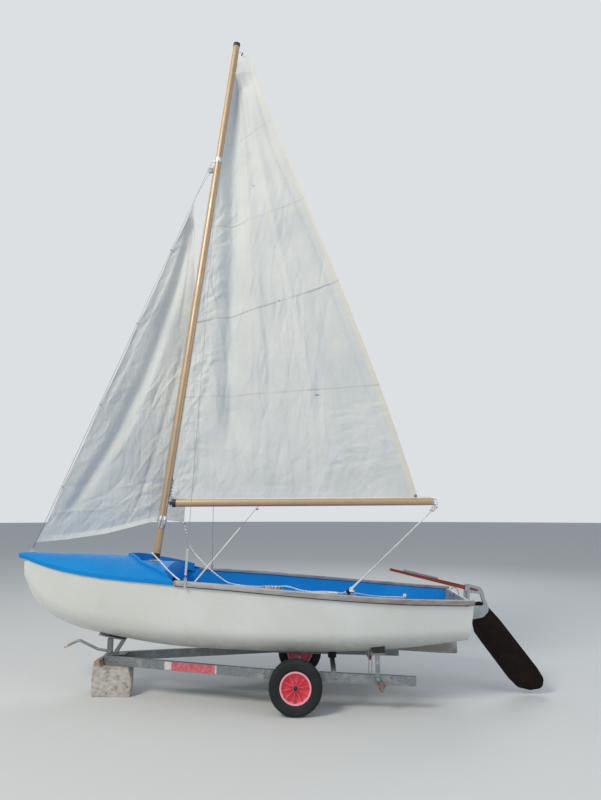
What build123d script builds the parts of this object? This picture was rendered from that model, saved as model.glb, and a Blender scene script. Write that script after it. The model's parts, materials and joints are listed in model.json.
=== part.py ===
"""A sailing dinghy on its launching trailer, in millimetres.

The bow points to -X, port is -Y and +Z is up, with Z = 0 on the ground under the wheels and the
block. Places along the boat are stations: millimetres aft of the foredeck's tip, as a boat
builder measures them. The boat is drawn as it parks, bow a little high, with both sails set.
"""
from build123d import *
from math import cos, radians, sin, tan
import os

# Overall sizes
LENGTH = 4552.28           # foredeck's tip to the kicked-up rudder's tip
RAIL_TOP = 14.0            # rub rail above the hull's edge
SKIN = 10.0                # hull moulding
LINER_GAP = 5.0            # between the hull's skin and the cockpit liner
LINER_WALL = 6.0
DECK_WALL = 7.0
SEAT_GAP = 0.4             # between two mouldings that are fitted together

# Hull sections: station, half beam, edge height, bilge corner (y, z), keel height, bilge and keel radius
SECTIONS = [
    (58, 14, 1120, 9, 1010, 985, 40, 4),
    (160, 80, 1096, 48, 880, 762, 200, 10),
    (300, 165, 1070, 105, 760, 628, 250, 30),
    (520, 270, 1033, 185, 640, 532, 280, 60),
    (900, 420, 994, 315, 545, 446, 280, 150),
    (1400, 548, 966, 450, 478, 378, 260, 300),
    (2000, 620, 928, 540, 455, 350, 230, 300),
    (2700, 648, 872, 575, 448, 343, 220, 300),
    (3300, 605, 830, 530, 470, 362, 210, 300),
    (3846, 466, 801, 410, 512, 420, 150, 200),
]
STATIONS = [58, 100, 160, 230, 300, 400, 520, 700, 900, 1150, 1400, 1536, 1800, 2100, 2400, 2700, 3000,
            3300, 3580, 3846]
TRANSOM_RAKE = 7.0         # degrees, top aft
DECK_CROWN = [(58, 1150), (160, 1148), (300, 1144), (520, 1138), (900, 1128), (1400, 1112), (1800, 1090)]
DECK_ROWS = 13             # stations that the foredeck crosses
DECK_LIP = 8.0             # deck's edge outside the hull
BEAK_LIP = 18.0            # and further out at the stem

# Cockpit
BULKHEAD = 1400.0          # station of the bulkhead under the mast deck
BENCH_TOP = 700.0
FLOOR_TOP = 492.0
FLOOR_WALL = 8.0
WELL_HALF, WELL_TAPER = 330.0, 90.0      # footwell's half width, and how much it narrows aft
LINER_ROW = 10             # first station of the liner, at the bulkhead
TRANSOM_WALL, TRANSOM_BOARD = 12.0, 16.0
LINER_END = -TRANSOM_WALL - TRANSOM_BOARD - 2 * SEAT_GAP
TRANSOM_TOP = 795.0
DRAIN_SIDE, DRAIN_UP, DRAIN_RADIUS = 150.0, 85.0, 11.0     # from the keel line, across and up the transom
COAMING = [(1000, 0), (1190, 290), (1420, 480), (1600, 640)]     # station and y, apex to side
COAMING_RISE = 20.0
COAMING_WALL = 16.0
MAST_DECK_DROP = 44.0
CASE_FORE, CASE_AFT, CASE_TOP, CASE_WIDTH = 1900.0, 2980.0, 770.0, 64.0

# Rig
MAST_FOOT = (1230.0, 1085.0)     # station and height
MAST_LENGTH = 5250.0
MAST_RAKE = 6.66
MAST_DEEP, MAST_WIDE, TUBE_WALL = 65.0, 50.0, 2.5
TUBE_UP = 58.0                   # lower end of the mast's tube, above its foot
COLLAR_UP = 276.0                # lower end of the collar, along the mast
HOUNDS_UP = 3920.0               # along the mast from its foot
PIN_UP = 503.0
PIN_AFT = 50.0                   # gooseneck pin behind the mast's axis
BOOM_LENGTH = 2350.0
BOOM_RISE = 0.34                 # degrees
BOOM_DEEP, BOOM_WIDE = 66.0, 44.0
SAIL_THICK = 4.0
CHAINPLATE = 1628.0              # station
CHAINPLATE_THICK = 4.0
BOW_STAY = (112.0, 1168.0)       # station and height of the stem fitting's pin

# Rudder
RUDDER_AXIS_AFT = 36.0           # pintle line behind the transom
HEAD_THICK, BLADE_THICK = 46.0, 20.0
BLADE_PIVOT = (4050.0, 660.0)
BLADE_KICK = 36.9                # degrees aft of straight down
TILLER_FORE, TILLER_AFT = (3292.0, 1009.0), (4066.0, 829.0)
EXTENSION_LIFT = 24.0            # extension's middle above the tiller's
PINTLE_HEIGHTS = (700.0, 812.0)
PINTLE_DROP = 44.0               # gudgeons below the pintles' tubes

# Trailer
WHEEL_RADIUS = 203.0
WHEEL_WIDE = 94.0
RIM_RADIUS = 120.0
WHEEL_STATION = 2489.0
WHEEL_Y = 590.0
AXLE_RADIUS = 14.0
HUB_FACE = 14.0                  # outer end of the hub, from the wheel's middle
RAIL_DEEP, RAIL_WIDE, RAIL_WALL = 70.0, 32.0, 3.0
RAIL_PATH = [(850, 62, 266), (2250, 440, 259), (3410, 490, 226)]  # station, y, height of the middle

SIDES = {"port": -1, "stbd": 1}


def at(station, y=0.0, z=0.0):
    """Point in the frame for a place measured from the foredeck's tip."""
    return Vector(station - LENGTH / 2, y, z)


def slab(station_a, station_b, y_a, y_b, z_a, z_b):
    """Box between two stations, two widths and two heights."""
    middle = at((station_a + station_b) / 2, (y_a + y_b) / 2, (z_a + z_b) / 2)
    return Pos(middle) * Box(abs(station_b - station_a), abs(y_b - y_a), abs(z_b - z_a))


def rod(start, end, radius, bore=0.0):
    """Round bar or tube from one point to another."""
    line = Vector(end) - Vector(start)
    plane = Plane(origin=start, z_dir=line)
    profile = Circle(radius)
    if bore:
        profile -= Circle(bore)
    return extrude(plane * profile, amount=line.length)


def side_plate(points, y, thick):
    """Plate in the XZ plane: an outline of (station, z), centred on y."""
    plane = Plane(origin=at(0, y + thick / 2, 0), x_dir=(1, 0, 0), z_dir=(0, -1, 0))
    return extrude(plane * make_face(Polyline(*points, close=True)), amount=thick)


def plan_plate(points, z_low, z_high):
    """Upright prism from a plan outline of (station, y)."""
    outline = [(at(s).X, y) for s, y in points]
    return Pos(0, 0, z_low) * extrude(make_face(Polyline(*outline, close=True)), amount=z_high - z_low)


def fair(station):
    """Row of the section table at any station, by a smooth curve through the drawn ones."""
    places = [row[0] for row in SECTIONS]
    bay = max(i for i in range(len(places) - 1) if places[i] <= station or i == 0)
    width = places[bay + 1] - places[bay]
    t = (station - places[bay]) / width
    values = [station]
    for column in zip(*SECTIONS):
        slope = []
        for i in (bay, bay + 1):
            low, high = max(i - 1, 0), min(i + 1, len(places) - 1)
            slope.append((column[high] - column[low]) / (places[high] - places[low]) * width)
        a, b = column[bay], column[bay + 1]
        values.append(a * (1 + 2 * t) * (1 - t) ** 2 + b * t * t * (3 - 2 * t)
                      + slope[0] * t * (1 - t) ** 2 - slope[1] * t * t * (1 - t))
    return [station] + values[2:]


ROWS = [fair(station) for station in STATIONS]


def section_plane(row, shift=0.0):
    """Plane of a hull section and its datum height; the last one leans aft with the transom."""
    station, keel = row[0] + shift, row[5]
    if row[0] < STATIONS[-1]:
        return Plane(origin=at(station), x_dir=(0, 1, 0), z_dir=(1, 0, 0)), 0.0
    rake = radians(TRANSOM_RAKE)
    return Plane(origin=at(station, 0, keel), x_dir=(0, 1, 0), z_dir=(cos(rake), 0, -sin(rake))), keel


def rounded(points, wanted):
    """Fillet radii no larger than the runs beside each corner leave room for."""
    radii = []
    for before, corner, after, radius in zip(points, points[1:], points[2:], wanted):
        run_in, run_out = Vector(*corner) - Vector(*before), Vector(*after) - Vector(*corner)
        turn = radians(run_in.get_angle(run_out))
        radii.append(min(radius, 0.45 * min(run_in.length, run_out.length) / tan(turn / 2)))
    return radii


def hull_line(row, inset, datum):
    """Sheer to sheer round the bottom: flat topsides, round bilges and a rounded keel."""
    _, beam, edge, bilge_y, bilge_z, keel, bilge_r, keel_r = row
    beam, bilge_y = beam - min(inset, 0.55 * beam), bilge_y - min(inset, 0.55 * bilge_y)
    half = [(beam, edge - datum), (bilge_y, bilge_z + inset / 2 - datum)]
    points = half + [(0, keel + inset - datum)] + [(-y, z) for y, z in reversed(half)]
    return FilletPolyline(*points, radius=rounded(points, [bilge_r - inset, keel_r, bilge_r - inset]))


def hull_body(inset=0.0, rows=None):
    """Solid body through the hull's sections, set in from the outside by inset."""
    faces = []
    for row in rows or ROWS:
        plane, datum = section_plane(row)
        side = hull_line(row, inset, datum)
        faces.append(plane * make_face(side + Line(side @ 1, side @ 0)))
    return loft(faces, ruled=True)


def make_hull():
    """Round-bilged skin with a solid stem, open on top and at the transom."""
    faces = []
    for row in ROWS:
        plane, datum = section_plane(row)
        outside, inside = hull_line(row, 0, datum), hull_line(row, SKIN, datum)
        rim = Line(outside @ 0, inside @ 0) + Line(outside @ 1, inside @ 1)
        faces.append(plane * make_face(outside + inside + rim))
    return loft(faces, ruled=True) + hull_body(rows=ROWS[:2])


def panel(row, inset, thick, shift=0.0):
    """Flat panel across the hull at a section, its outline set in from the skin."""
    plane, datum = section_plane(row, shift)
    side = hull_line(row, inset, datum)
    return extrude(plane * make_face(side + Line(side @ 1, side @ 0)), amount=-thick)


def deck_crown(station):
    """Height of the deck's middle."""
    places, heights = zip(*DECK_CROWN)
    bay = max(i for i in range(len(places) - 1) if places[i] <= station or i == 0)
    t = (station - places[bay]) / (places[bay + 1] - places[bay])
    return heights[bay] + t * (heights[bay + 1] - heights[bay])


def deck_section(row, drop, wall, foot):
    """Closed outline of an arched deck strip with a foot at each side, lying on the hull's edge."""
    station, beam, edge = row[:3]
    crown = deck_crown(station) - drop
    plane, _ = section_plane(row)
    out, seat = beam + DECK_LIP + (BEAK_LIP if row is ROWS[0] else 0), beam + SEAT_GAP
    high, low = edge + 8 - drop, edge - foot
    points = [(-out, high), (-out, low), (-seat, low), (-seat, high - wall)]
    left = Polyline(*points)
    right = Polyline(*[(-y, z) for y, z in reversed(points)])
    top = ThreePointArc((-out, high), (0, crown), (out, high))
    under = ThreePointArc((-seat, high - wall), (0, crown - wall), (seat, high - wall))
    return plane * make_face(left + top + right + under)


def deck_loft(drop, wall, foot):
    """Arched deck moulding through the forward sections."""
    return loft([deck_section(row, drop, wall, foot) for row in ROWS[:DECK_ROWS]], ruled=True)


def beak_section(station, half, edge, crown):
    """Solid outline of the deck's tip ahead of the stem."""
    plane = Plane(origin=at(station), x_dir=(0, 1, 0), z_dir=(1, 0, 0))
    sides = Polyline((half, edge + 8), (half, edge - 24), (-half, edge - 24), (-half, edge + 8))
    return plane * make_face(sides + ThreePointArc((-half, edge + 8), (0, crown), (half, edge + 8)))


def coaming_plan(forward):
    """V of the coaming moved forward, closed far aft."""
    arm = [(s - forward, y) for s, y in COAMING]
    return arm + [(2600, 760), (2600, -760)] + [(s, -y) for s, y in reversed(arm[1:])]


def make_foredeck():
    """Crowned foredeck with a beak over the stem, a V coaming and the sunk mast deck."""
    behind_v = plan_plate(coaming_plan(0), 300, 1400)
    strip = plan_plate(coaming_plan(COAMING_WALL), 300, 1400) - behind_v
    edge = [(s, fair(s)[1] - (23 if s < 1430 else 35)) for s in (900, 1000, 1150, 1300, 1400, 1450, 1535)]
    strip &= plan_plate(edge + [(s, -y) for s, y in reversed(edge)], 300, 1400)
    beak = loft([beak_section(0, 8, 1128, 1144), beak_section(26, 26, 1124, 1148), beak_section(58, 40, 1120, 1150)])
    skin = deck_loft(0, DECK_WALL, 24) - behind_v
    wall = deck_loft(-COAMING_RISE, MAST_DECK_DROP + COAMING_RISE + DECK_WALL, 120) & strip
    mast_deck = deck_loft(MAST_DECK_DROP, DECK_WALL, MAST_DECK_DROP + 60)
    mast_deck &= behind_v & slab(900, BULKHEAD, -430, 430, 300, 1400)
    return skin + beak + wall + mast_deck


def make_liner():
    """Cockpit moulding: side walls, bench tops, bench faces and floor."""
    faces = []
    for row in ROWS[LINER_ROW:]:
        station, beam, edge, bilge_y, bilge_z = row[:5]
        plane, datum = section_plane(row, LINER_END if row is ROWS[-1] else 0)
        wide = beam - SKIN - LINER_GAP
        slope = (beam - bilge_y) / (edge - bilge_z)
        bench = wide - slope * (edge - BENCH_TOP)
        well = WELL_HALF - WELL_TAPER * max(0, station - 3000) / 846
        outside = [(wide, edge), (bench, BENCH_TOP - LINER_WALL), (well + LINER_WALL, BENCH_TOP - LINER_WALL),
                   (well + LINER_WALL, FLOOR_TOP - FLOOR_WALL)]
        inside = [(well, FLOOR_TOP), (well, BENCH_TOP), (bench - LINER_WALL, BENCH_TOP), (wide - LINER_WALL, edge)]
        loop = outside + [(-y, z) for y, z in reversed(outside)]
        loop += [(-y, z) for y, z in reversed(inside)] + inside
        faces.append(plane * make_face(Polyline(*[(y, z - datum) for y, z in loop], close=True)))
    return loft(faces, ruled=True)


def make_bulkhead():
    """Plywood bulkhead under the mast deck, with the arched locker opening."""
    row = ROWS[LINER_ROW]
    plate = panel(row, SKIN + LINER_GAP, 10, shift=-1) + slab(1389, 1399, -400, 400, 900, 1080)
    plane = section_plane(row, 5)[0]
    _, beam, edge, *_ = row
    side, crown = edge + 8 - MAST_DECK_DROP - DECK_WALL - SEAT_GAP, deck_crown(row[0]) - MAST_DECK_DROP - DECK_WALL
    low = Polyline((beam, side), (beam, 300), (-beam, 300), (-beam, side))
    under_deck = make_face(low + ThreePointArc((-beam, side), (0, crown - SEAT_GAP), (beam, side)))
    plate &= extrude(plane * under_deck, amount=-60)
    arch = Pos(0, 650) * Rectangle(440, 200) + Pos(0, 750) * Ellipse(220, 190)
    return plate - extrude(plane * arch, amount=-60)


def drain():
    """Bore of the drain low in the transom."""
    plane = section_plane(ROWS[-1])[0]
    return extrude(plane * Pos(DRAIN_SIDE, DRAIN_UP) * Circle(DRAIN_RADIUS), amount=60, both=True)


def make_transom():
    """White transom panel between the skin's after edges."""
    below_rail = slab(3700, 3950, -600, 600, 300, TRANSOM_TOP)
    return (panel(ROWS[-1], SKIN + SEAT_GAP, TRANSOM_WALL) & below_rail) - drain()


def make_transom_board():
    """Stiffening board inside the transom, left grey."""
    below_rail = slab(3700, 3950, -600, 600, 300, TRANSOM_TOP)
    board = panel(ROWS[-1], SKIN + LINER_GAP, TRANSOM_BOARD, shift=-TRANSOM_WALL - SEAT_GAP)
    return (board & below_rail) - drain()


def make_rub_rail(side):
    """Capping that grips the edges of hull and liner, from the coaming to the transom."""
    faces = []
    for row in ROWS[DECK_ROWS - 2:]:
        _, beam, edge, *_ = row
        plane, datum = section_plane(row)
        out, lip, top, seat = beam + 20, beam - 32, edge + RAIL_TOP - datum, edge + SEAT_GAP - datum
        low, skin = edge - 24 - datum, beam + SEAT_GAP
        points = [(skin, low), (out, low), (out, top), (lip, top), (lip, seat), (skin, seat)]
        faces.append(plane * make_face(Polyline(*[(side * y, z) for y, z in points], close=True)))
    return loft(faces, ruled=True)


def make_skeg():
    """Shallow fin under the run, cut to the hull."""
    fin = side_plate([(3240, 420), (3840, 480), (3842, 322), (3700, 326), (3240, 352)], 0, 24)
    fin = fillet(fin.edges().filter_by(Axis.Y).group_by(Axis.Z)[0], 18)
    return fin - hull_body(-SEAT_GAP)


def make_case():
    """Centreboard case between the floor and its capping."""
    wall = slab(CASE_FORE, CASE_AFT, -CASE_WIDTH / 2, CASE_WIDTH / 2, FLOOR_TOP + 0.2, CASE_TOP)
    wall -= slab(CASE_FORE + 60, CASE_AFT - 90, -13, 13, FLOOR_TOP + 40, CASE_TOP + 1)
    cap = slab(CASE_FORE - 15, CASE_AFT + 15, -58, 58, CASE_TOP, CASE_TOP + 20)
    cap -= slab(CASE_FORE + 60, CASE_AFT - 90, -13, 13, CASE_TOP - 1, CASE_TOP + 21)
    return wall + cap


def mast_point(along, aft=0.0, y=0.0):
    """Point at a distance along the mast from its foot and behind its axis."""
    rake = radians(MAST_RAKE)
    station = MAST_FOOT[0] + along * sin(rake) + aft * cos(rake)
    return at(station, y, MAST_FOOT[1] + along * cos(rake) - aft * sin(rake))


def mast_plane(along, aft=0.0):
    """Plane square to the mast, its local x pointing aft."""
    rake = radians(MAST_RAKE)
    return Plane(origin=mast_point(along, aft), x_dir=(cos(rake), 0, -sin(rake)), z_dir=(sin(rake), 0, cos(rake)))


def make_mast():
    """Oval tube with a sail track along its after side."""
    tube = Ellipse(MAST_DEEP / 2, MAST_WIDE / 2) - Ellipse(MAST_DEEP / 2 - TUBE_WALL, MAST_WIDE / 2 - TUBE_WALL)
    slot = Pos(MAST_DEEP / 2, 0) * Rectangle(12, 3)
    return extrude(mast_plane(TUBE_UP) * (tube - slot), amount=MAST_LENGTH - TUBE_UP)


def make_mast_parts():
    """Masthead cap, split collar, hounds, gooseneck bracket, step and the black foot that stands in it."""
    oval = Ellipse(MAST_DEEP / 2 + 3, MAST_WIDE / 2 + 3)
    plug = Ellipse(MAST_DEEP / 2 - TUBE_WALL - 0.2, MAST_WIDE / 2 - TUBE_WALL - 0.2)
    cap = extrude(mast_plane(MAST_LENGTH + 0.2) * oval, amount=34)
    cap += extrude(mast_plane(MAST_LENGTH - 30) * plug, amount=31)
    ring = Ellipse(MAST_DEEP / 2 + 3.5, MAST_WIDE / 2 + 3.5) - Ellipse(MAST_DEEP / 2 + 0.3, MAST_WIDE / 2 + 0.3)
    hounds = extrude(mast_plane(HOUNDS_UP - 25) * ring, amount=50)
    for side in SIDES.values():
        tang = Box(22, 4, 44)
        hounds += mast_plane(HOUNDS_UP, 6).location * Pos(0, side * (MAST_WIDE / 2 + 4.5), 0) * tang
    hounds += mast_plane(HOUNDS_UP - 10, -MAST_DEEP / 2 - 14).location * Box(26, 5, 26)
    bore = Ellipse(MAST_DEEP / 2 + 0.3, MAST_WIDE / 2 + 0.3)
    collar = loft([mast_plane(COLLAR_UP) * Ellipse(MAST_DEEP / 2 + 5, MAST_WIDE / 2 + 6),
                   mast_plane(COLLAR_UP + 40) * Ellipse(MAST_DEEP / 2 + 11, MAST_WIDE / 2 + 12),
                   mast_plane(COLLAR_UP + 76) * Ellipse(MAST_DEEP / 2 + 11, MAST_WIDE / 2 + 12),
                   mast_plane(COLLAR_UP + 108) * Ellipse(MAST_DEEP / 2 + 6, MAST_WIDE / 2 + 7)], ruled=True)
    collar -= extrude(mast_plane(COLLAR_UP - 1) * bore, amount=120)
    collar -= mast_plane(COLLAR_UP + 54).location * Pos(0, -MAST_WIDE / 2 - 12, 0) * Rot(0, 5, 0) * Box(8, 30, 130)
    bracket = extrude(mast_plane(PIN_UP - 30) * ring, amount=60)
    bracket -= mast_plane(PIN_UP).location * Pos(-30, 0, 0) * Box(104, 90, 120)
    for up in (-22, 22):
        lug = Pos(PIN_AFT - 8.3, 0) * Rectangle(16.6, 20) + Pos(PIN_AFT, 0) * Circle(10)
        bracket += extrude(mast_plane(PIN_UP + up - 3) * lug, amount=6)
    bracket += extrude(mast_plane(PIN_UP - 30, PIN_AFT) * Circle(5), amount=60)
    fore, aft = [deck_crown(MAST_FOOT[0] + d) - MAST_DECK_DROP + SEAT_GAP for d in (-80, 80)]
    deck = Plane(origin=at(MAST_FOOT[0], 0, (fore + aft) / 2), x_dir=(160, 0, aft - fore), z_dir=(fore - aft, 0, 160))
    step = extrude(mast_plane(9) * Ellipse(MAST_DEEP / 2 + 2, MAST_WIDE / 2 + 2), amount=-16)
    step += extrude(deck * Pos(-8, 0) * RectangleRounded(112, 78, 12), amount=6)
    foot = extrude(mast_plane(9.2) * Ellipse(MAST_DEEP / 2 - 2, MAST_WIDE / 2 - 2), amount=TUBE_UP - 9.4)
    foot += extrude(mast_plane(TUBE_UP - 1) * plug, amount=40)
    return {"mast_cap": cap, "hounds": hounds, "mast_collar": collar, "gooseneck": bracket, "mast_step": step,
            "mast_foot": foot}


def boom_frame():
    """Gooseneck point, boom plane square to the boom, local x up and local z aft."""
    rise = radians(BOOM_RISE)
    pin = mast_point(PIN_UP, PIN_AFT)
    return pin, Plane(origin=pin, x_dir=(-sin(rise), 0, cos(rise)), z_dir=(cos(rise), 0, sin(rise)))


def along(distance):
    """Plane square to the boom at a distance from the gooseneck pin."""
    plane = boom_frame()[1]
    return Plane(origin=plane.origin + plane.z_dir * distance, x_dir=plane.x_dir, z_dir=plane.z_dir)


def make_boom():
    """Oval boom with its front cap and eye, end cap and bail."""
    shell = Ellipse(BOOM_DEEP / 2, BOOM_WIDE / 2) - Ellipse(BOOM_DEEP / 2 - 2.5, BOOM_WIDE / 2 - 2.5)
    shell -= Pos(BOOM_DEEP / 2, 0) * Rectangle(12, 3)
    tube = extrude(along(52) * shell, amount=BOOM_LENGTH - 52)
    oval = Ellipse(BOOM_DEEP / 2 + 2, BOOM_WIDE / 2 + 2)
    plug = Ellipse(BOOM_DEEP / 2 - 2.8, BOOM_WIDE / 2 - 2.8)
    front = extrude(along(18) * oval, amount=33.8) + extrude(along(51) * plug, amount=30)
    eye = extrude(mast_plane(PIN_UP - 14, PIN_AFT) * (Circle(10) + Pos(12, 0) * Rectangle(24, 16)), amount=28)
    front += eye
    front -= extrude(mast_plane(PIN_UP - 40, PIN_AFT) * Circle(5.6), amount=80)
    end = extrude(along(BOOM_LENGTH + 0.2) * oval, amount=14) + extrude(along(BOOM_LENGTH - 26) * plug, amount=27)
    points = [along(BOOM_LENGTH + out).origin + Vector(0, 0, up) for out, up in
              ((15.2, 26), (33, 20), (46, -22), (34, -31), (15.2, -26))]
    path = FilletPolyline(*[(p.X, p.Y, p.Z) for p in points], radius=6)
    bail = sweep(Plane(origin=path @ 0, z_dir=path % 0) * Circle(3), path=path)
    return {"boom": tube, "boom_cap": front, "boom_end": end, "boom_bail": bail}


def make_mainsail():
    """Flat sheet with the sail's outline, luff behind the mast's track and foot on the boom."""
    boom = boom_frame()[1]
    luff = MAST_DEEP / 2 + 7
    low = boom.origin + boom.z_dir * 30 + boom.x_dir * (BOOM_DEEP / 2 + 2.6)
    tack = (low.X, low.Z)
    aft = boom.origin + boom.z_dir * 2215 + boom.x_dir * (BOOM_DEEP / 2 + 2.6)
    head_fore = mast_point(5060, luff)
    luff_foot = mast_point(PIN_UP + 32, luff)
    head_aft = at(1981, 0, 6160)
    leech = [(2360, 5110), (2762, 3951), (3160, 2926), (3440, 2062)]
    points = [(luff_foot.X, luff_foot.Z), tack, (aft.X, aft.Z)]
    points += [(at(s).X, z) for s, z in reversed(leech)]
    points += [(head_aft.X, head_aft.Z), (head_fore.X, head_fore.Z)]
    plane = Plane(origin=(0, SAIL_THICK / 2, 0), x_dir=(1, 0, 0), z_dir=(0, -1, 0))
    return extrude(plane * make_face(Polyline(*points, close=True)), amount=SAIL_THICK)


def chainplate_eye(side):
    """Centre of the chainplate's eye."""
    beam, edge = fair(CHAINPLATE)[1:3]
    return at(CHAINPLATE, side * (beam + 20.6 + CHAINPLATE_THICK / 2), edge + 36)


def stay_ends():
    """Upper and lower ends of the forestay and the shrouds."""
    bow = at(BOW_STAY[0], 0, BOW_STAY[1])
    top_fore = mast_point(HOUNDS_UP - 12, -MAST_DEEP / 2 - 29.6)
    ends = {"forestay": (bow + (top_fore - bow).normalized() * 12, top_fore)}
    for name, side in SIDES.items():
        low, high = chainplate_eye(side), mast_point(HOUNDS_UP - 16, 6, side * (MAST_WIDE / 2 + 9))
        ends["shroud_" + name] = (low + (high - low).normalized() * 11.5, high)
    return ends


def make_stay(low, high, adjuster):
    """Wire with a thicker adjuster at its foot."""
    line = (high - low).normalized()
    wire = rod(low, high, 2.0)
    return wire + rod(low + line * adjuster[0], low + line * adjuster[1], 5.0)


def make_jib(low, high):
    """Flat triangle behind the forestay, its clew out to starboard."""
    line = (high - low).normalized()
    tack, head = low + line * 62, low + line * 3560
    clew = at(1390, 350, 1407)
    normal = (head - tack).cross(clew - tack).normalized()
    aft = normal.cross(line) * (1 if normal.cross(line).X > 0 else -1)
    tack, head = tack + aft * 4, head + aft * 4
    face = Face(Wire.make_polygon([tack, head, clew], close=True))
    return Solid.extrude(face, normal * SAIL_THICK)


def make_rudder():
    """Cast head with a window, cheeks and a tiller socket; the blade kicked up between the cheeks."""
    outline = [(3920, 604), (3996, 601), (4075, 618), (4122, 665), (4122, 705), (4096, 774), (4087, 832),
               (4062, 866), (3962, 890), (3955, 886)]
    head = side_plate(outline, 0, HEAD_THICK)
    head = fillet(head.edges().filter_by(Axis.Y).sort_by(Axis.X)[-6:], 36)
    window = side_plate([(3962, 712), (4074, 712), (4082, 730), (4062, 808), (3968, 816)], 0, HEAD_THICK + 4)
    head -= fillet(window.edges().filter_by(Axis.Y), 8)
    slot = side_plate([(3970, 843), (4036, 829), (4040, 844), (3972, 864)], 0, HEAD_THICK + 4)
    head -= fillet(slot.edges().filter_by(Axis.Y), 4)
    head += tiller_collar()
    for swing in (-36.9, -24, -12, 0, 15, 30, 45, 60):
        head -= blade_solid(swing, BLADE_THICK + 10, 6)
    pivot = at(BLADE_PIVOT[0], 0, BLADE_PIVOT[1])
    head += Pos(pivot) * Rot(90, 0, 0) * Cylinder(7, HEAD_THICK + 16)
    socket = tiller_solid(1.2)
    head -= socket
    for z in PINTLE_HEIGHTS:
        head += rod(rudder_axis(z - 26), rudder_axis(z + 26), 9)
        head += rod(rudder_axis(z - 62), rudder_axis(z + 26), 4.5)
        low, high = rudder_axis(z - 24), rudder_axis(z + 24)
        web = [low.X, low.X + 24, high.X + 24, high.X]
        web = [(x + LENGTH / 2, z_end) for x, z_end in zip(web, (low.Z, low.Z, high.Z, high.Z))]
        head += side_plate(web, 0, 18)
    return head


def tiller_collar():
    """Strap bent round the tiller where it enters the head."""
    line = (at(TILLER_AFT[0], 0, TILLER_AFT[1]) - at(TILLER_FORE[0], 0, TILLER_FORE[1])).normalized()
    plane = Plane(origin=at(3934, 0, 859.7), x_dir=(0, 1, 0), z_dir=line)
    return extrude(plane * Rectangle(HEAD_THICK, 58), amount=26)


def rudder_axis(z):
    """Point of the pintle line at a height."""
    aft = RUDDER_AXIS_AFT / cos(radians(TRANSOM_RAKE))
    return at(SECTIONS[-1][0] + aft + (z - SECTIONS[-1][5]) * tan(radians(TRANSOM_RAKE)), 0, z)


def blade_solid(swing=0.0, thick=BLADE_THICK, grow=0.0):
    """Blade outline in (down, aft) from its pivot, turned to its kicked-up place."""
    top, g = 82 + grow, grow
    shape = [(0, top), (150, 95 + g), (631, 95 + g), (726, 83 + g), (779 + g, 26), (729 + g, -67 - g),
             (650, -136 - g), (553, -150 - g), (203, -147 - g), (100 - g, -143 - g)]
    shape.append((-37 * top / 82, -73 * top / 82))
    angle = radians(BLADE_KICK + swing)
    place = lambda down, aft: (BLADE_PIVOT[0] + down * sin(angle) + aft * cos(angle),
                               BLADE_PIVOT[1] - down * cos(angle) + aft * sin(angle))
    plate = side_plate([place(*point) for point in shape], 0, thick)
    plate += Pos(at(BLADE_PIVOT[0], 0, BLADE_PIVOT[1])) * Rot(90, 0, 0) * Cylinder(top, thick)
    return plate


def make_blade():
    """Rudder blade with its pivot hole."""
    pivot = at(BLADE_PIVOT[0], 0, BLADE_PIVOT[1])
    plate = blade_solid()
    tip = [edge for edge in plate.edges().filter_by(Axis.Y) if (edge.center() - pivot).length > 560]
    return fillet(tip, 55) - Pos(pivot) * Rot(90, 0, 0) * Cylinder(7.6, 60)


def tiller_solid(grow=0.0):
    """Tapered tiller, thicker at the rudder."""
    fore, aft = at(TILLER_FORE[0], 0, TILLER_FORE[1]), at(TILLER_AFT[0], 0, TILLER_AFT[1])
    line = aft - fore
    ends = []
    for point, wide, deep in ((fore, 22, 22), (aft, 30, 36)):
        plane = Plane(origin=point, x_dir=(0, 1, 0), z_dir=line)
        ends.append(plane * Rectangle(wide + grow, deep + grow))
    return loft(ends)


def make_tiller():
    """Tiller and its extension, folded back along the top."""
    fore, aft = at(TILLER_FORE[0], 0, TILLER_FORE[1]), at(TILLER_AFT[0], 0, TILLER_AFT[1])
    line = (aft - fore).normalized()
    up = Vector(-line.Z, 0, line.X)
    start = fore + line * 118 + up * EXTENSION_LIFT
    stick = rod(start, start + line * 300, 8)
    stick += rod(start + line * 14 - up * (EXTENSION_LIFT - 13), start + line * 14 + up * 10, 5)
    return {"tiller": tiller_solid(), "tiller_extension": stick}


def make_gudgeon(z):
    """Transom bracket with the hole that a pintle drops into."""
    centre = rudder_axis(z)
    rake = radians(TRANSOM_RAKE)
    plane = Plane(origin=centre, x_dir=(cos(rake), 0, -sin(rake)), z_dir=(sin(rake), 0, cos(rake)))
    arm = Circle(10) + Pos(-17, 0) * Rectangle(34, 20)
    bracket = extrude(plane * arm, amount=9, both=True)
    bracket += plane.location * Pos(-RUDDER_AXIS_AFT + 2.2, 0, 0) * Box(4, 60, 30)
    return bracket - extrude(plane * Circle(5.2), amount=20, both=True)


def make_tyre(side):
    """Round-shouldered tyre on a drop-centre rim."""
    half = WHEEL_WIDE / 2
    outline = [(RIM_RADIUS, -30), (RIM_RADIUS + 12, -half + 6), (WHEEL_RADIUS - 38, -half), (WHEEL_RADIUS - 10, -half + 12),
               (WHEEL_RADIUS, -22), (WHEEL_RADIUS, 22), (WHEEL_RADIUS - 10, half - 12), (WHEEL_RADIUS - 38, half),
               (RIM_RADIUS + 12, half - 6), (RIM_RADIUS, 30)]
    profile = make_face(Polyline(*outline, close=True))
    tyre = revolve(Plane.XY * profile, Axis.Y)
    return Pos(at(WHEEL_STATION, side * WHEEL_Y, WHEEL_RADIUS)) * tyre


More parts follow.
